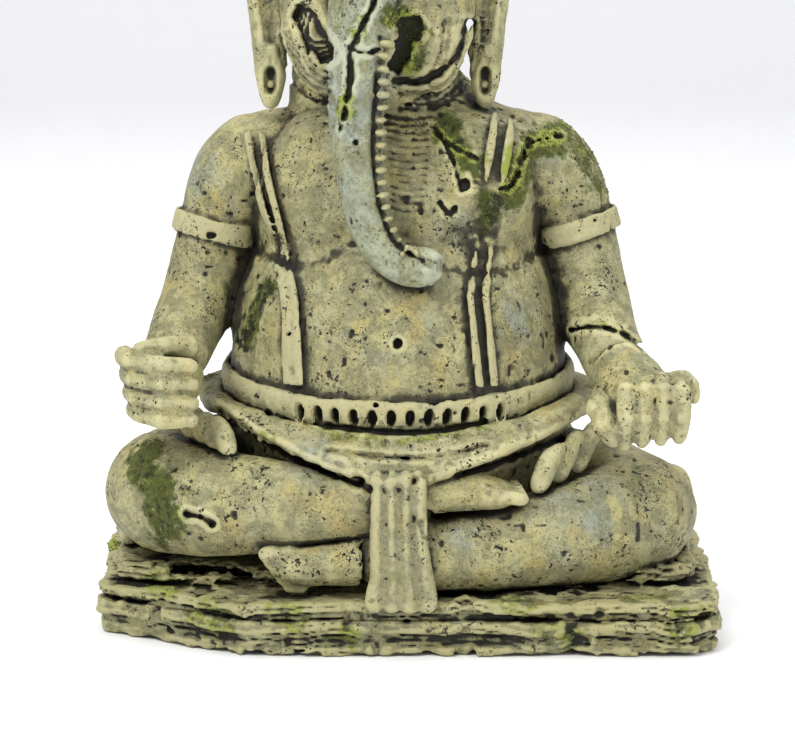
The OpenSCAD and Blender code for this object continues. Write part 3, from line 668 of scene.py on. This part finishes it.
def rockRelief(p):
    k = rockSkin
    flat = p * np.array([1, 1, 0.35], np.float32)
    sway = k["sway"] * lumps(flat, 15.0, 21) + 0.7 * lumps(flat, 4.5, 22) + 0.3 * lumps(p, 1.8, 26)
    level = (p[:, 2] + sway) / k["layer"]
    cell = np.floor(level).astype(int)
    part = (level - cell).astype(np.float32)
    stand = np.random.default_rng(5).random(64).astype(np.float32) * 2 - 1
    turn = smoothStep(part, 0.72, 1.0)
    out = stand[cell & 63] * (1 - turn) + stand[(cell + 1) & 63] * turn
    open_ = smoothStep(lumps(flat, 8.0, 23) + 0.5 * stand[(cell + 7) & 63], -0.25, 0.35)
    cut = k["step"] * out + k["split"] * open_ * np.exp(-((part - 0.86) / 0.12) ** 2)
    thin = np.exp(-((((p[:, 2] + 1.4 * sway) / k["leaf"]) % 1 - 0.5) / 0.16) ** 2)
    cut += 0.3 * thin * smoothStep(lumps(flat, 6.0, 27), -0.3, 0.4)
    cut += k["chip"] * smoothStep(roughness(p, 6.5, 28, 3), 0.45, 0.8)
    return cut + k["lumpy"] * roughness(p, k["lumpySize"], 24, 4)


# The hollow inside each drop's rim
def carveDrops(points, depth):
    k = beltDrops
    for p in dropSpots:
        out = dropOutward(p)
        near = np.nonzero((np.abs(points - p) < (6, 6, 6)).all(1))[0]
        way = points[near] - p
        high = way[:, 2] / k["tall"]
        side = (way[:, 0] * -out[1] + way[:, 1] * out[0]) / (k["wide"] * (1 - k["taper"] * high))
        fill = np.hypot(high, side)
        depth[near] += k["deep"] * (1 - smoothStep(fill, 0.25, 0.95))


def detailForm():
    where = np.nonzero(np.abs(form) < clay["skin"])
    points = (low + np.stack(where, 1) * step).astype(np.float32)
    depth = form[where]
    rocks = [blocks[n][0] for n in ("base_slab", "base_cap", "seat_ledge")]
    rock = np.isin(owner[where], rocks)
    depth[~rock] += stoneRelief(points[~rock])
    depth[rock] += rockRelief(points[rock])
    for seed, marks in enumerate((faceMarks, trunkMarks, chestMarks, throatFolds, legMarks, clothMarks)):
        carve(points, depth, marks, seed)
    carveDrops(points, depth)
    moss = mossAmount(points)
    depth -= moss * (0.18 + 0.22 * lumps(points, 1.1, 31))
    under = points[:, 2] < 0.3      # the underside stays flat
    depth[under] = form[where][under]
    form[where] = depth
    print("details cut:", len(depth), "places")


detailForm()


# The clay is parted again, one closed mesh for each piece

def sample(field, points, spacing=step):
    q = (points - low) / spacing
    q = np.clip(q, 0, np.array(field.shape) - 1.001)
    cell = q.astype(np.int32)
    f = (q - cell).astype(np.float32)
    out = np.zeros(len(points), np.float32)
    for corner in range(8):
        pick = [cell[:, k] + (corner >> k & 1) for k in range(3)]
        weight = np.ones(len(points), np.float32)
        for k in range(3):
            weight *= f[:, k] if corner >> k & 1 else 1 - f[:, k]
        out += weight * field[pick[0], pick[1], pick[2]]
    return out


def buildMesh(name, points, tris, quads):
    volume = 0.0
    for corners in ([tris] if len(tris) else []) + [quads[:, [0, 1, 2]], quads[:, [0, 2, 3]]]:
        a, b, c = (points[corners[:, k]].astype(float) for k in range(3))
        volume += np.einsum("ij,ij->i", a, np.cross(b, c)).sum() / 6
    if volume < 0:      # faces point outwards
        tris, quads = tris[:, ::-1], quads[:, ::-1]
    sides = np.concatenate([tris.reshape(-1), quads.reshape(-1)]).astype(np.int32)
    mesh = bpy.data.meshes.new(name)
    mesh.vertices.add(len(points))
    mesh.vertices.foreach_set("co", (points / 1000).astype(np.float32).reshape(-1))
    mesh.loops.add(len(sides))
    mesh.loops.foreach_set("vertex_index", sides)
    mesh.polygons.add(len(tris) + len(quads))
    starts = np.concatenate([np.arange(len(tris)) * 3, len(tris) * 3 + np.arange(len(quads)) * 4])
    mesh.polygons.foreach_set("loop_start", starts.astype(np.int32))
    mesh.update(calc_edges=True)
    mesh.polygons.foreach_set("use_smooth", np.ones(len(mesh.polygons), bool))
    return mesh


def setAttribute(mesh, name, values):
    attribute = mesh.attributes.new(name, "FLOAT", "POINT")
    attribute.data.foreach_set("value", values.astype(np.float32))


overlap = 0.12      # mm that neighbours run into each other, so that no seam gapes
stagger = 0.004     # mm between one piece's skin and the next one's, so that no two coincide


def cutPiece(name):
    index, where, block = blocks[name]
    mine = owner[where] == index
    other = np.where(mine, second[where], nearest[where])
    field = np.maximum(form[where], (block - other) / 2 - overlap) + stagger * index
    field = np.pad(field, 1, constant_values=reach)
    corner = low + step * (np.array([s.start for s in where]) - 1)
    grid = openvdb.FloatGrid(float(reach))
    grid.copyFromArray(np.ascontiguousarray(field, np.float32))
    points, tris, quads = grid.convertToPolygons(isovalue=0.0, adaptivity=clay["adapt"])
    points = points * step + corner
    return buildMesh(name, points, tris.astype(np.int64), quads.astype(np.int64))


def dropCrumbs(mesh, least):
    bm = bmesh.new()
    bm.from_mesh(mesh)
    seen, crumbs = set(), []
    for start in bm.verts:
        if start.index in seen:
            continue
        seen.add(start.index)
        island, heap = [start], [start]
        while heap:
            for edge in heap.pop().link_edges:
                for vert in edge.verts:
                    if vert.index not in seen:
                        seen.add(vert.index)
                        island.append(vert)
                        heap.append(vert)
        if len(island) < least:
            crumbs += island
    if crumbs:
        bmesh.ops.delete(bm, geom=crumbs, context="VERTS")
        bm.to_mesh(mesh)
    bm.free()


# Painted stone. Each effect is a node group; the materials place them with their own values.

def newShaderGroup(name, inputs, outputs):
    tree = bpy.data.node_groups.new(name, "ShaderNodeTree")
    for label, (kind, value) in inputs.items():
        socket = tree.interface.new_socket(label, in_out="INPUT", socket_type="NodeSocket" + kind)
        if value is not None:
            socket.default_value = value
    for label, kind in outputs.items():
        tree.interface.new_socket(label, in_out="OUTPUT", socket_type="NodeSocket" + kind)
    return tree, tree.nodes.new("NodeGroupInput"), tree.nodes.new("NodeGroupOutput")


def tint(red, green, blue):      # a paint pot's colour, 0 to 255
    parts = [((c / 255 + 0.055) / 1.055) ** 2.4 if c > 10 else c / 3295 for c in (red, green, blue)]
    return (*parts, 1)


def noise(tree, where, size, detail=3.0, rough=0.55, bend=0.0):      # size in mm
    return addNode(tree, "ShaderNodeTexNoise", Vector=where, Scale=1000 / size, Detail=detail,
                   Roughness=rough, Distortion=bend).outputs["Fac"]


def between(tree, value, start, end):      # 0 below start, 1 above end
    return addNode(tree, "ShaderNodeMapRange", {"interpolation_type": "SMOOTHSTEP"}, Value=value,
                   From_Min=start, From_Max=end).outputs["Result"]


def maths(tree, operation, a, b=0.0):
    return addNode(tree, "ShaderNodeMath", {"operation": operation}, i0=a, i1=b).outputs[0]


def blend(tree, amount, a, b):
    return addNode(tree, "ShaderNodeMix", {"data_type": "RGBA"}, i0=amount, i6=a, i7=b).outputs[2]


def makeCoatGroup():      # the base paint: cream, ochre and blue-grey in soft patches
    tree, given, result = newShaderGroup("paintCoat", {
        "Vector": ("Vector", None), "Cream": ("Color", tint(205, 199, 158)),
        "Ochre": ("Color", tint(190, 172, 104)), "Chill": ("Color", tint(134, 142, 130)),
        "Ochre Amount": ("Float", 0.5), "Chill Amount": ("Float", 0.4)},
        {"Color": "Color"})
    where = given.outputs["Vector"]
    ochre = maths(tree, "MULTIPLY", between(tree, noise(tree, where, 9.0, 4.0, 0.6, 0.6), 0.44, 0.66),
                  given.outputs["Ochre Amount"])
    first = blend(tree, ochre, given.outputs["Cream"], given.outputs["Ochre"])
    shifted = addNode(tree, "ShaderNodeVectorMath", {"operation": "ADD"}, i0=where,
                      i1=(0.31, 0.17, 0.53)).outputs[0]
    brushed = addNode(tree, "ShaderNodeVectorMath", {"operation": "MULTIPLY"}, i0=shifted,
                      i1=(1.0, 1.0, 0.45)).outputs[0]
    cold = between(tree, noise(tree, brushed, 7.0, 5.0, 0.68, 0.3), 0.62, 0.40)
    cold = maths(tree, "MULTIPLY", cold, given.outputs["Chill Amount"])
    second = blend(tree, cold, first, given.outputs["Chill"])
    grey = between(tree, noise(tree, shifted, 5.0, 6.0, 0.72, 0.5), 0.44, 0.58)
    greyed = blend(tree, maths(tree, "MULTIPLY", grey, 0.75), second, tint(116, 115, 84))
    mottle = between(tree, noise(tree, shifted, 1.3, 5.0, 0.75), 0.46, 0.66)
    stained = blend(tree, maths(tree, "MULTIPLY", mottle, 0.5), greyed, tint(94, 89, 62))
    dusted = between(tree, noise(tree, shifted, 6.5, 4.0, 0.65), 0.40, 0.60)      # thick with specks
    specks = maths(tree, "ADD", noise(tree, where, 0.42, 3.0, 0.7), maths(tree, "MULTIPLY", dusted, 0.07))
    tree.links.new(blend(tree, maths(tree, "MULTIPLY", between(tree, specks, 0.60, 0.68), 0.7), stained,
                         tint(66, 62, 44)), result.inputs["Color"])
    return tree


def makeWashAndShadeGroup():      # dark wash left lying in the hollows and in scratches, with painted shade over the broad hollows
    tree, given, result = newShaderGroup("creviceWashAndShade", {
        "Vector": ("Vector", None), "Relief": ("Float", 0), "Bulk": ("Float", 0), "Depth": ("Float", 0.22),
        "Spread": ("Float", 1.2), "Amount": ("Float", 1.0)}, {"Mask": "Float", "Deep": "Float"})
    where = given.outputs["Vector"]
    stain = noise(tree, where, 2.6, 5.0, 0.72, 0.4)
    fine = maths(tree, "MULTIPLY", given.outputs["Relief"], -1.0)
    fine = maths(tree, "DIVIDE", fine, given.outputs["Depth"])
    # painted shade: the broad hollows, found with the broad blur, are darkened as if shaded
    broadShade = maths(tree, "MULTIPLY", given.outputs["Bulk"], -1.0)
    broadShade = maths(tree, "DIVIDE", broadShade, given.outputs["Spread"])
    both = maths(tree, "ADD", fine, maths(tree, "MULTIPLY", broadShade, 0.75))
    both = maths(tree, "ADD", both, maths(tree, "MULTIPLY", maths(tree, "SUBTRACT", stain, 0.5), 1.5))
    rubbed = maths(tree, "MULTIPLY", maths(tree, "SUBTRACT", noise(tree, where, 0.7, 4.0, 0.75), 0.5), 1.3)
    both = maths(tree, "ADD", both, rubbed)
    mask = between(tree, both, 0.10, 1.15)
    tree.links.new(maths(tree, "MULTIPLY", mask, given.outputs["Amount"]), result.inputs["Mask"])
    # the deepest hollows, later painted near-black: darkest wash and painted shade together
    tree.links.new(between(tree, both, 0.9, 2.1), result.inputs["Deep"])
    return tree


def makeEdgeGroup():      # a light dry brush over what stands out
    tree, given, result = newShaderGroup("dryBrush", {
        "Vector": ("Vector", None), "Relief": ("Float", 0), "Start": ("Float", 0.05), "End": ("Float", 0.3),
        "Amount": ("Float", 0.8)}, {"Mask": "Float"})
    drag = noise(tree, given.outputs["Vector"], 1.1, 4.0, 0.7)
    edge = between(tree, maths(tree, "ADD", given.outputs["Relief"],
                               maths(tree, "MULTIPLY", maths(tree, "SUBTRACT", drag, 0.5), 0.28)),
                   given.outputs["Start"], given.outputs["End"])
    tree.links.new(maths(tree, "MULTIPLY", edge, given.outputs["Amount"]), result.inputs["Mask"])
    return tree


def makeSpeckGroup():      # small ragged pits, in clusters
    tree, given, result = newShaderGroup("stonePits", {
        "Vector": ("Vector", None), "Size": ("Float", 1.0), "Amount": ("Float", 1.0)},
        {"Mask": "Float", "Height": "Float"})
    where = given.outputs["Vector"]
    flock = between(tree, noise(tree, where, 8.0, 3.0, 0.6), 0.40, 0.66)
    least = maths(tree, "SUBTRACT", 0.72, maths(tree, "MULTIPLY", flock, 0.12))
    dots = noise(tree, where, 1.35, 2.0, 0.6, 0.2)
    small = noise(tree, addNode(tree, "ShaderNodeVectorMath", {"operation": "ADD"}, i0=where,
                                i1=(0.7, 0.2, 0.4)).outputs[0], 0.62, 2.0, 0.6, 0.2)
    big = between(tree, maths(tree, "SUBTRACT", dots, least), 0.0, 0.035)
    tiny = between(tree, maths(tree, "SUBTRACT", small, least), 0.0, 0.03)
    both = maths(tree, "MULTIPLY", maths(tree, "MAXIMUM", big, tiny), given.outputs["Amount"])
    tree.links.new(both, result.inputs["Mask"])
    tree.links.new(maths(tree, "MULTIPLY", both, -1.0), result.inputs["Height"])
    return tree


def makeMossGroup():      # moss from dark roots to lime tips
    tree, given, result = newShaderGroup("mossCoat", {
        "Vector": ("Vector", None), "Moss": ("Float", 0), "Relief": ("Float", 0),
        "Dark": ("Color", tint(34, 37, 18)), "Green": ("Color", tint(76, 82, 34)),
        "Lime": ("Color", tint(136, 144, 62))}, {"Color": "Color", "Mask": "Float", "Height": "Float"})
    where = given.outputs["Vector"]
    broken = noise(tree, where, 2.4, 5.0, 0.7)
    ragged = maths(tree, "MULTIPLY", maths(tree, "SUBTRACT", broken, 0.5), 2.2)
    mask = between(tree, maths(tree, "ADD", given.outputs["Moss"], ragged), 0.30, 0.85)
    grain = noise(tree, where, 0.8, 4.0, 0.75)
    patchy = noise(tree, where, 4.0, 4.0, 0.65)
    mixed = maths(tree, "ADD", maths(tree, "MULTIPLY", grain, 0.75), maths(tree, "MULTIPLY", patchy, 0.6))
    tone = maths(tree, "ADD", maths(tree, "MULTIPLY", given.outputs["Relief"], 0.9), mixed)
    body = blend(tree, between(tree, tone, 0.48, 0.72), given.outputs["Dark"], given.outputs["Green"])
    color = blend(tree, between(tree, tone, 0.76, 1.0), body, given.outputs["Lime"])
    tree.links.new(color, result.inputs["Color"])
    tree.links.new(mask, result.inputs["Mask"])
    tree.links.new(maths(tree, "MULTIPLY", mask, grain), result.inputs["Height"])
    return tree


paintCoat, creviceWashAndShade, dryBrush = makeCoatGroup(), makeWashAndShadeGroup(), makeEdgeGroup()
stonePits, mossCoat = makeSpeckGroup(), makeMossGroup()

# Each finish's wash colour goes on the crevice wash and on the painted shade of the broad hollows; the spread
# sets how broad that painted shade is.
finishes = {
    "creamStone": {"cream": (168, 162, 112), "ochre": (156, 138, 76), "ochreAmount": 0.6, "chillAmount": 0.32,
                   "washShade": (54, 51, 35), "washShadeAmount": 0.95, "depth": 0.16, "spread": 1.1,
                   "edge": (206, 200, 154), "edgeAmount": 0.5, "pits": 1.0},
    "blueStone": {"cream": (152, 156, 122), "ochre": (150, 142, 92), "ochreAmount": 0.35, "chillAmount": 0.7,
                  "washShade": (46, 48, 36), "washShadeAmount": 0.95, "depth": 0.18, "spread": 1.4,
                  "edge": (190, 196, 172), "edgeAmount": 0.6, "pits": 0.7},
    "rimStone": {"cream": (140, 135, 92), "ochre": (134, 118, 68), "ochreAmount": 0.5, "chillAmount": 0.35,
                 "washShade": (42, 40, 28), "washShadeAmount": 1.0, "depth": 0.1, "spread": 0.7,
                 "edge": (200, 193, 146), "edgeAmount": 0.5, "pits": 0.9},
    "rockStone": {"cream": (128, 124, 80), "ochre": (120, 106, 58), "ochreAmount": 0.5, "chillAmount": 0.3,
                  "washShade": (40, 37, 25), "washShadeAmount": 1.0, "depth": 0.14, "spread": 0.9,
                  "edge": (180, 174, 126), "edgeAmount": 0.6, "pits": 0.9},
}


def useGroup(tree, group, **inputs):
    return addNode(tree, "ShaderNodeGroup", {"node_tree": group}, **inputs)


def makeFinish(name):
    k = finishes[name]
    mat = bpy.data.materials.new(name)
    mat.use_nodes = True
    tree = mat.node_tree
    shader = tree.nodes["Principled BSDF"]
    where = addNode(tree, "ShaderNodeTexCoord").outputs["Object"]
    relief, bulk, moss, chill = (
        addNode(tree, "ShaderNodeAttribute", {"attribute_name": label}).outputs["Fac"]
        for label in ("relief", "bulk", "moss", "chill"))
    coldness = maths(tree, "ADD", chill, k["chillAmount"])
    coat = useGroup(tree, paintCoat, Vector=where, Cream=tint(*k["cream"]), Ochre=tint(*k["ochre"]),
                    Ochre_Amount=k["ochreAmount"], Chill_Amount=coldness)
    washShade = useGroup(tree, creviceWashAndShade, Vector=where, Relief=relief, Bulk=bulk, Depth=k["depth"],
                    Spread=k["spread"], Amount=k["washShadeAmount"])
    brush = useGroup(tree, dryBrush, Vector=where, Relief=relief, Amount=k["edgeAmount"])
    pits = useGroup(tree, stonePits, Vector=where, Amount=k["pits"])
    grown = useGroup(tree, mossCoat, Vector=where, Moss=moss, Relief=relief)
    color = blend(tree, brush.outputs["Mask"], coat.outputs["Color"], tint(*k["edge"]))
    # crevice wash and painted shade of the broad hollows, in the wash colour
    color = blend(tree, washShade.outputs["Mask"], color, tint(*k["washShade"]))
    # near-black in the deepest hollows: darkest wash and painted shade
    color = blend(tree, washShade.outputs["Deep"], color, tint(28, 26, 18))
    color = blend(tree, pits.outputs["Mask"], color, tint(34, 31, 22))
    color = blend(tree, grown.outputs["Mask"], color, grown.outputs["Color"])
    tree.links.new(color, shader.inputs["Base Color"])
    gloss = maths(tree, "ADD", maths(tree, "MULTIPLY", noise(tree, where, 2.2, 3.0), 0.3), 0.48)
    gloss = maths(tree, "ADD", gloss, maths(tree, "MULTIPLY", grown.outputs["Mask"], 0.2))
    tree.links.new(gloss, shader.inputs["Roughness"])
    shader.inputs["Specular IOR Level"].default_value = 0.35
    height = maths(tree, "ADD", maths(tree, "MULTIPLY", pits.outputs["Height"], 1.0),
                   maths(tree, "MULTIPLY", noise(tree, where, 0.55, 4.0, 0.7), 0.45))
    height = maths(tree, "ADD", height, maths(tree, "MULTIPLY", grown.outputs["Height"], 1.2))
    bump = addNode(tree, "ShaderNodeBump", Height=height, Distance=0.00028, Strength=0.8)
    tree.links.new(bump.outputs["Normal"], shader.inputs["Normal"])
    return mat


finish = {name: makeFinish(name) for name in finishes}
print("finishes mixed:", ", ".join(finish))


# Pieces and what each is painted with
painted = {
    "creamStone": ["torso", "right_leg", "left_leg", "right_foot", "left_foot", "right_arm", "left_arm",
                   "right_hand", "left_hand", "waistcloth", "right_hip_pleats", "left_hip_pleats",
                   "rear_drape", "head", "right_ear", "left_ear", "crown"],
    "blueStone": ["trunk"],
    "rimStone": ["trunk_ribs", "right_armband", "left_armband", "right_strap", "left_strap", "belt",
                 "belt_drops", "front_sash", "right_ear_stud", "left_ear_stud", "crown_band", "crown_finial"],
    "rockStone": ["base_slab", "base_cap", "seat_ledge"],
}
leastCrumb = 40      # vertices; loose bits smaller than this are dropped


def coarse(field, times):
    cut = [n // times * times for n in field.shape]
    part = field[:cut[0], :cut[1], :cut[2]]
    shape = [n for side in cut for n in (side // times, times)]
    return part.reshape(shape).mean((1, 3, 5))


def blurCoarse(field, sigma, times=3):
    return blur(coarse(field, times), sigma, step * times)


bluePlaces = [      # board places with more blue-grey on them, and how wide
    (-3, 8, 13), (24, 12, 9), (-5, 66, 12), (-14, 60, 14), (-20, -20, 9), (40, -33, 15), (14, -36, 8),
    (-2, -18, 10),
    (-46, 46, 8), (32, 50, 6), (12, 32, 7),
]


def chillAmount(points):
    u, v = onBoard(points)
    total = np.zeros(len(points), np.float32)
    for x, y, wide in bluePlaces:
        total = np.maximum(total, 1 - smoothStep(np.hypot(u - x, v - y), 0.3 * wide, wide))
    return 0.55 * total


def makePieces():
    fineBlur = blur(form, 0.9)
    # the broad blur measures broad hollows, which the finishes darken as painted shade
    broadShadeBlur = blurCoarse(form, 3.2)
    made = {}
    for finishName, names in painted.items():
        for name in names:
            mesh = cutPiece(name)
            dropCrumbs(mesh, leastCrumb)
            co = np.empty(len(mesh.vertices) * 3, np.float32)
            mesh.vertices.foreach_get("co", co)
            points = co.reshape(-1, 3) * 1000
            here = sample(form, points)
            setAttribute(mesh, "relief", sample(fineBlur, points) - here)
            # painted shade: how deep a place lies in a broad hollow
            setAttribute(mesh, "bulk", sample(broadShadeBlur, points - step, step * 3) - here)
            setAttribute(mesh, "moss", mossAmount(points))
            setAttribute(mesh, "chill", chillAmount(points))
            mesh.materials.append(finish[finishName])
            piece = bpy.data.objects.new("carved_" + name, mesh)
            scene.collection.objects.link(piece)
            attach(piece, "root")
            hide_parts(name)
            made[name] = piece
    return made


pieces = makePieces()
print("pieces cut:", len(pieces), "faces:", sum(len(p.data.polygons) for p in pieces.values()))


mossTufts = {
    "perArea": 1.8,        # tufts on a square mm of thick moss
    "small": 0.12, "large": 0.24,      # mm, their radii
    "stretch": 1.5,
    "least": 60,           # fewer than this isn't worth a piece
}


def makeTuftFinish():
    mat = bpy.data.materials.new("mossTufts")
    mat.use_nodes = True
    tree = mat.node_tree
    shader = tree.nodes["Principled BSDF"]
    where = addNode(tree, "ShaderNodeTexCoord").outputs["Object"]
    grown = useGroup(tree, mossCoat, Vector=where, Moss=1.0, Relief=0.02)
    dusty = blend(tree, between(tree, noise(tree, where, 3.0, 4.0, 0.7), 0.55, 0.8), grown.outputs["Color"],
                  tint(120, 112, 60))
    tree.links.new(dusty, shader.inputs["Base Color"])
    tree.links.new(maths(tree, "ADD", maths(tree, "MULTIPLY", noise(tree, where, 1.0, 2.0), 0.2), 0.75),
                   shader.inputs["Roughness"])
    bump = addNode(tree, "ShaderNodeBump", Height=noise(tree, where, 0.25, 3.0, 0.7), Distance=0.00012,
                   Strength=0.7)
    tree.links.new(bump.outputs["Normal"], shader.inputs["Normal"])
    return mat


def makeTuftTree():
    tree, given, result = newGeometryTree("mossTufts", {
        "Density": ("Float", 1e6), "Small": ("Float", 0.0002), "Large": ("Float", 0.0004),
        "Stretch": ("Float", 1.4), "Seed": ("Int", 8), "Material": ("Material", None)})
    moss = addNode(tree, "GeometryNodeInputNamedAttribute", {"data_type": "FLOAT"}, Name="moss")
    thick = addNode(tree, "ShaderNodeMapRange", Value=moss.outputs["Attribute"], From_Min=0.6, From_Max=0.95)
    dense = addNode(tree, "ShaderNodeMath", {"operation": "MULTIPLY"}, i0=thick.outputs["Result"],
                    i1=given.outputs["Density"])
    spots = addNode(tree, "GeometryNodeDistributePointsOnFaces", {"distribute_method": "RANDOM"},
                    Mesh=given.outputs["Geometry"], Density=dense.outputs[0], Seed=given.outputs["Seed"])
    tall = addNode(tree, "ShaderNodeCombineXYZ", X=1.0, Y=1.0, Z=given.outputs["Stretch"])
    ball = addNode(tree, "GeometryNodeMeshIcoSphere", Subdivisions=1, Radius=1.0)
    tuft = addNode(tree, "GeometryNodeTransform", Geometry=ball.outputs["Mesh"], Scale=tall.outputs[0])
    big = addNode(tree, "FunctionNodeRandomValue", {"data_type": "FLOAT"}, i2=given.outputs["Small"],
                  i3=given.outputs["Large"], Seed=given.outputs["Seed"])
    laid = addNode(tree, "GeometryNodeInstanceOnPoints", Points=spots.outputs["Points"],
                   Instance=tuft.outputs[0], Rotation=spots.outputs["Rotation"], Scale=big.outputs[1])
    whole = addNode(tree, "GeometryNodeRealizeInstances", Geometry=laid.outputs[0])
    coated = addNode(tree, "GeometryNodeSetMaterial", Geometry=whole.outputs[0],
                     Material=given.outputs["Material"])
    tree.links.new(coated.outputs[0], result.inputs[0])
    return tree


def growMoss():
    k = mossTufts
    tree, coat = makeTuftTree(), makeTuftFinish()
    count = 0
    for n, (name, piece) in enumerate(pieces.items()):
        mesh = runTree(piece, tree, {"Density": k["perArea"] * 1e6, "Small": k["small"] / 1000,
                                     "Large": k["large"] / 1000, "Stretch": k["stretch"], "Seed": 8 + n,
                                     "Material": coat})
        if len(mesh.polygons) < 20 * k["least"]:
            bpy.data.meshes.remove(mesh)
            continue
        tufts = bpy.data.objects.new("moss_on_" + name, mesh)
        scene.collection.objects.link(tufts)
        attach(tufts, "root")
        count += len(mesh.polygons) // 20
    print("moss grown:", count, "tufts")


growMoss()


# floor, light and camera

def makeFloor():
    mesh = bpy.data.meshes.new("floor")
    far, back, high = 3.0, 1.6, 2.5
    curve = [(-far, 0.0)] + [(back - 0.5 + 0.5 * math.sin(a), 0.5 - 0.5 * math.cos(a))
                             for a in np.linspace(0, math.pi / 2, 12)] + [(back, high)]
    verts = [(x, y, z) for y, z in curve for x in (-far, far)]
    mesh.from_pydata(verts, [], [(2 * i, 2 * i + 1, 2 * i + 3, 2 * i + 2) for i in range(len(curve) - 1)])
    mesh.polygons.foreach_set("use_smooth", [True] * len(mesh.polygons))
    mat = bpy.data.materials.new("paleFloor")
    mat.use_nodes = True
    tree = mat.node_tree
    shader = tree.nodes["Principled BSDF"]
    where = addNode(tree, "ShaderNodeTexCoord").outputs["Object"]
    color = blend(tree, noise(tree, where, 400.0, 2.0), tint(250, 250, 251), tint(246, 246, 249))
    tree.links.new(color, shader.inputs["Base Color"])
    shader.inputs["Roughness"].default_value = 0.6
    mesh.materials.append(mat)
    floor = bpy.data.objects.new("floor", mesh)
    scene.collection.objects.link(floor)


lamps = {
    "key": {"at": (-0.55, -0.75, 0.95), "size": 0.6, "power": 12.5},
    "fill": {"at": (0.8, -0.7, 0.55), "size": 0.9, "power": 4.5},
    "top": {"at": (0.1, 0.25, 1.1), "size": 0.9, "power": 7.0},
}


def makeLights():
    for name, k in lamps.items():
        light = bpy.data.lights.new(name, "AREA")
        light.energy, light.size = k["power"], k["size"]
        ob = bpy.data.objects.new(name, light)
        ob.location = k["at"]
        ob.rotation_euler = (Vector((0, 0, 0.08)) - Vector(k["at"])).to_track_quat("-Z", "Y").to_euler()
        scene.collection.objects.link(ob)
    world = bpy.data.worlds.new("studio")
    scene.world = world
    world.use_nodes = True
    world.node_tree.nodes["Background"].inputs["Color"].default_value = (1, 1, 1, 1)
    world.node_tree.nodes["Background"].inputs["Strength"].default_value = 0.52
    scene.view_settings.view_transform = "Standard"


makeFloor()
makeLights()
makeCamera()
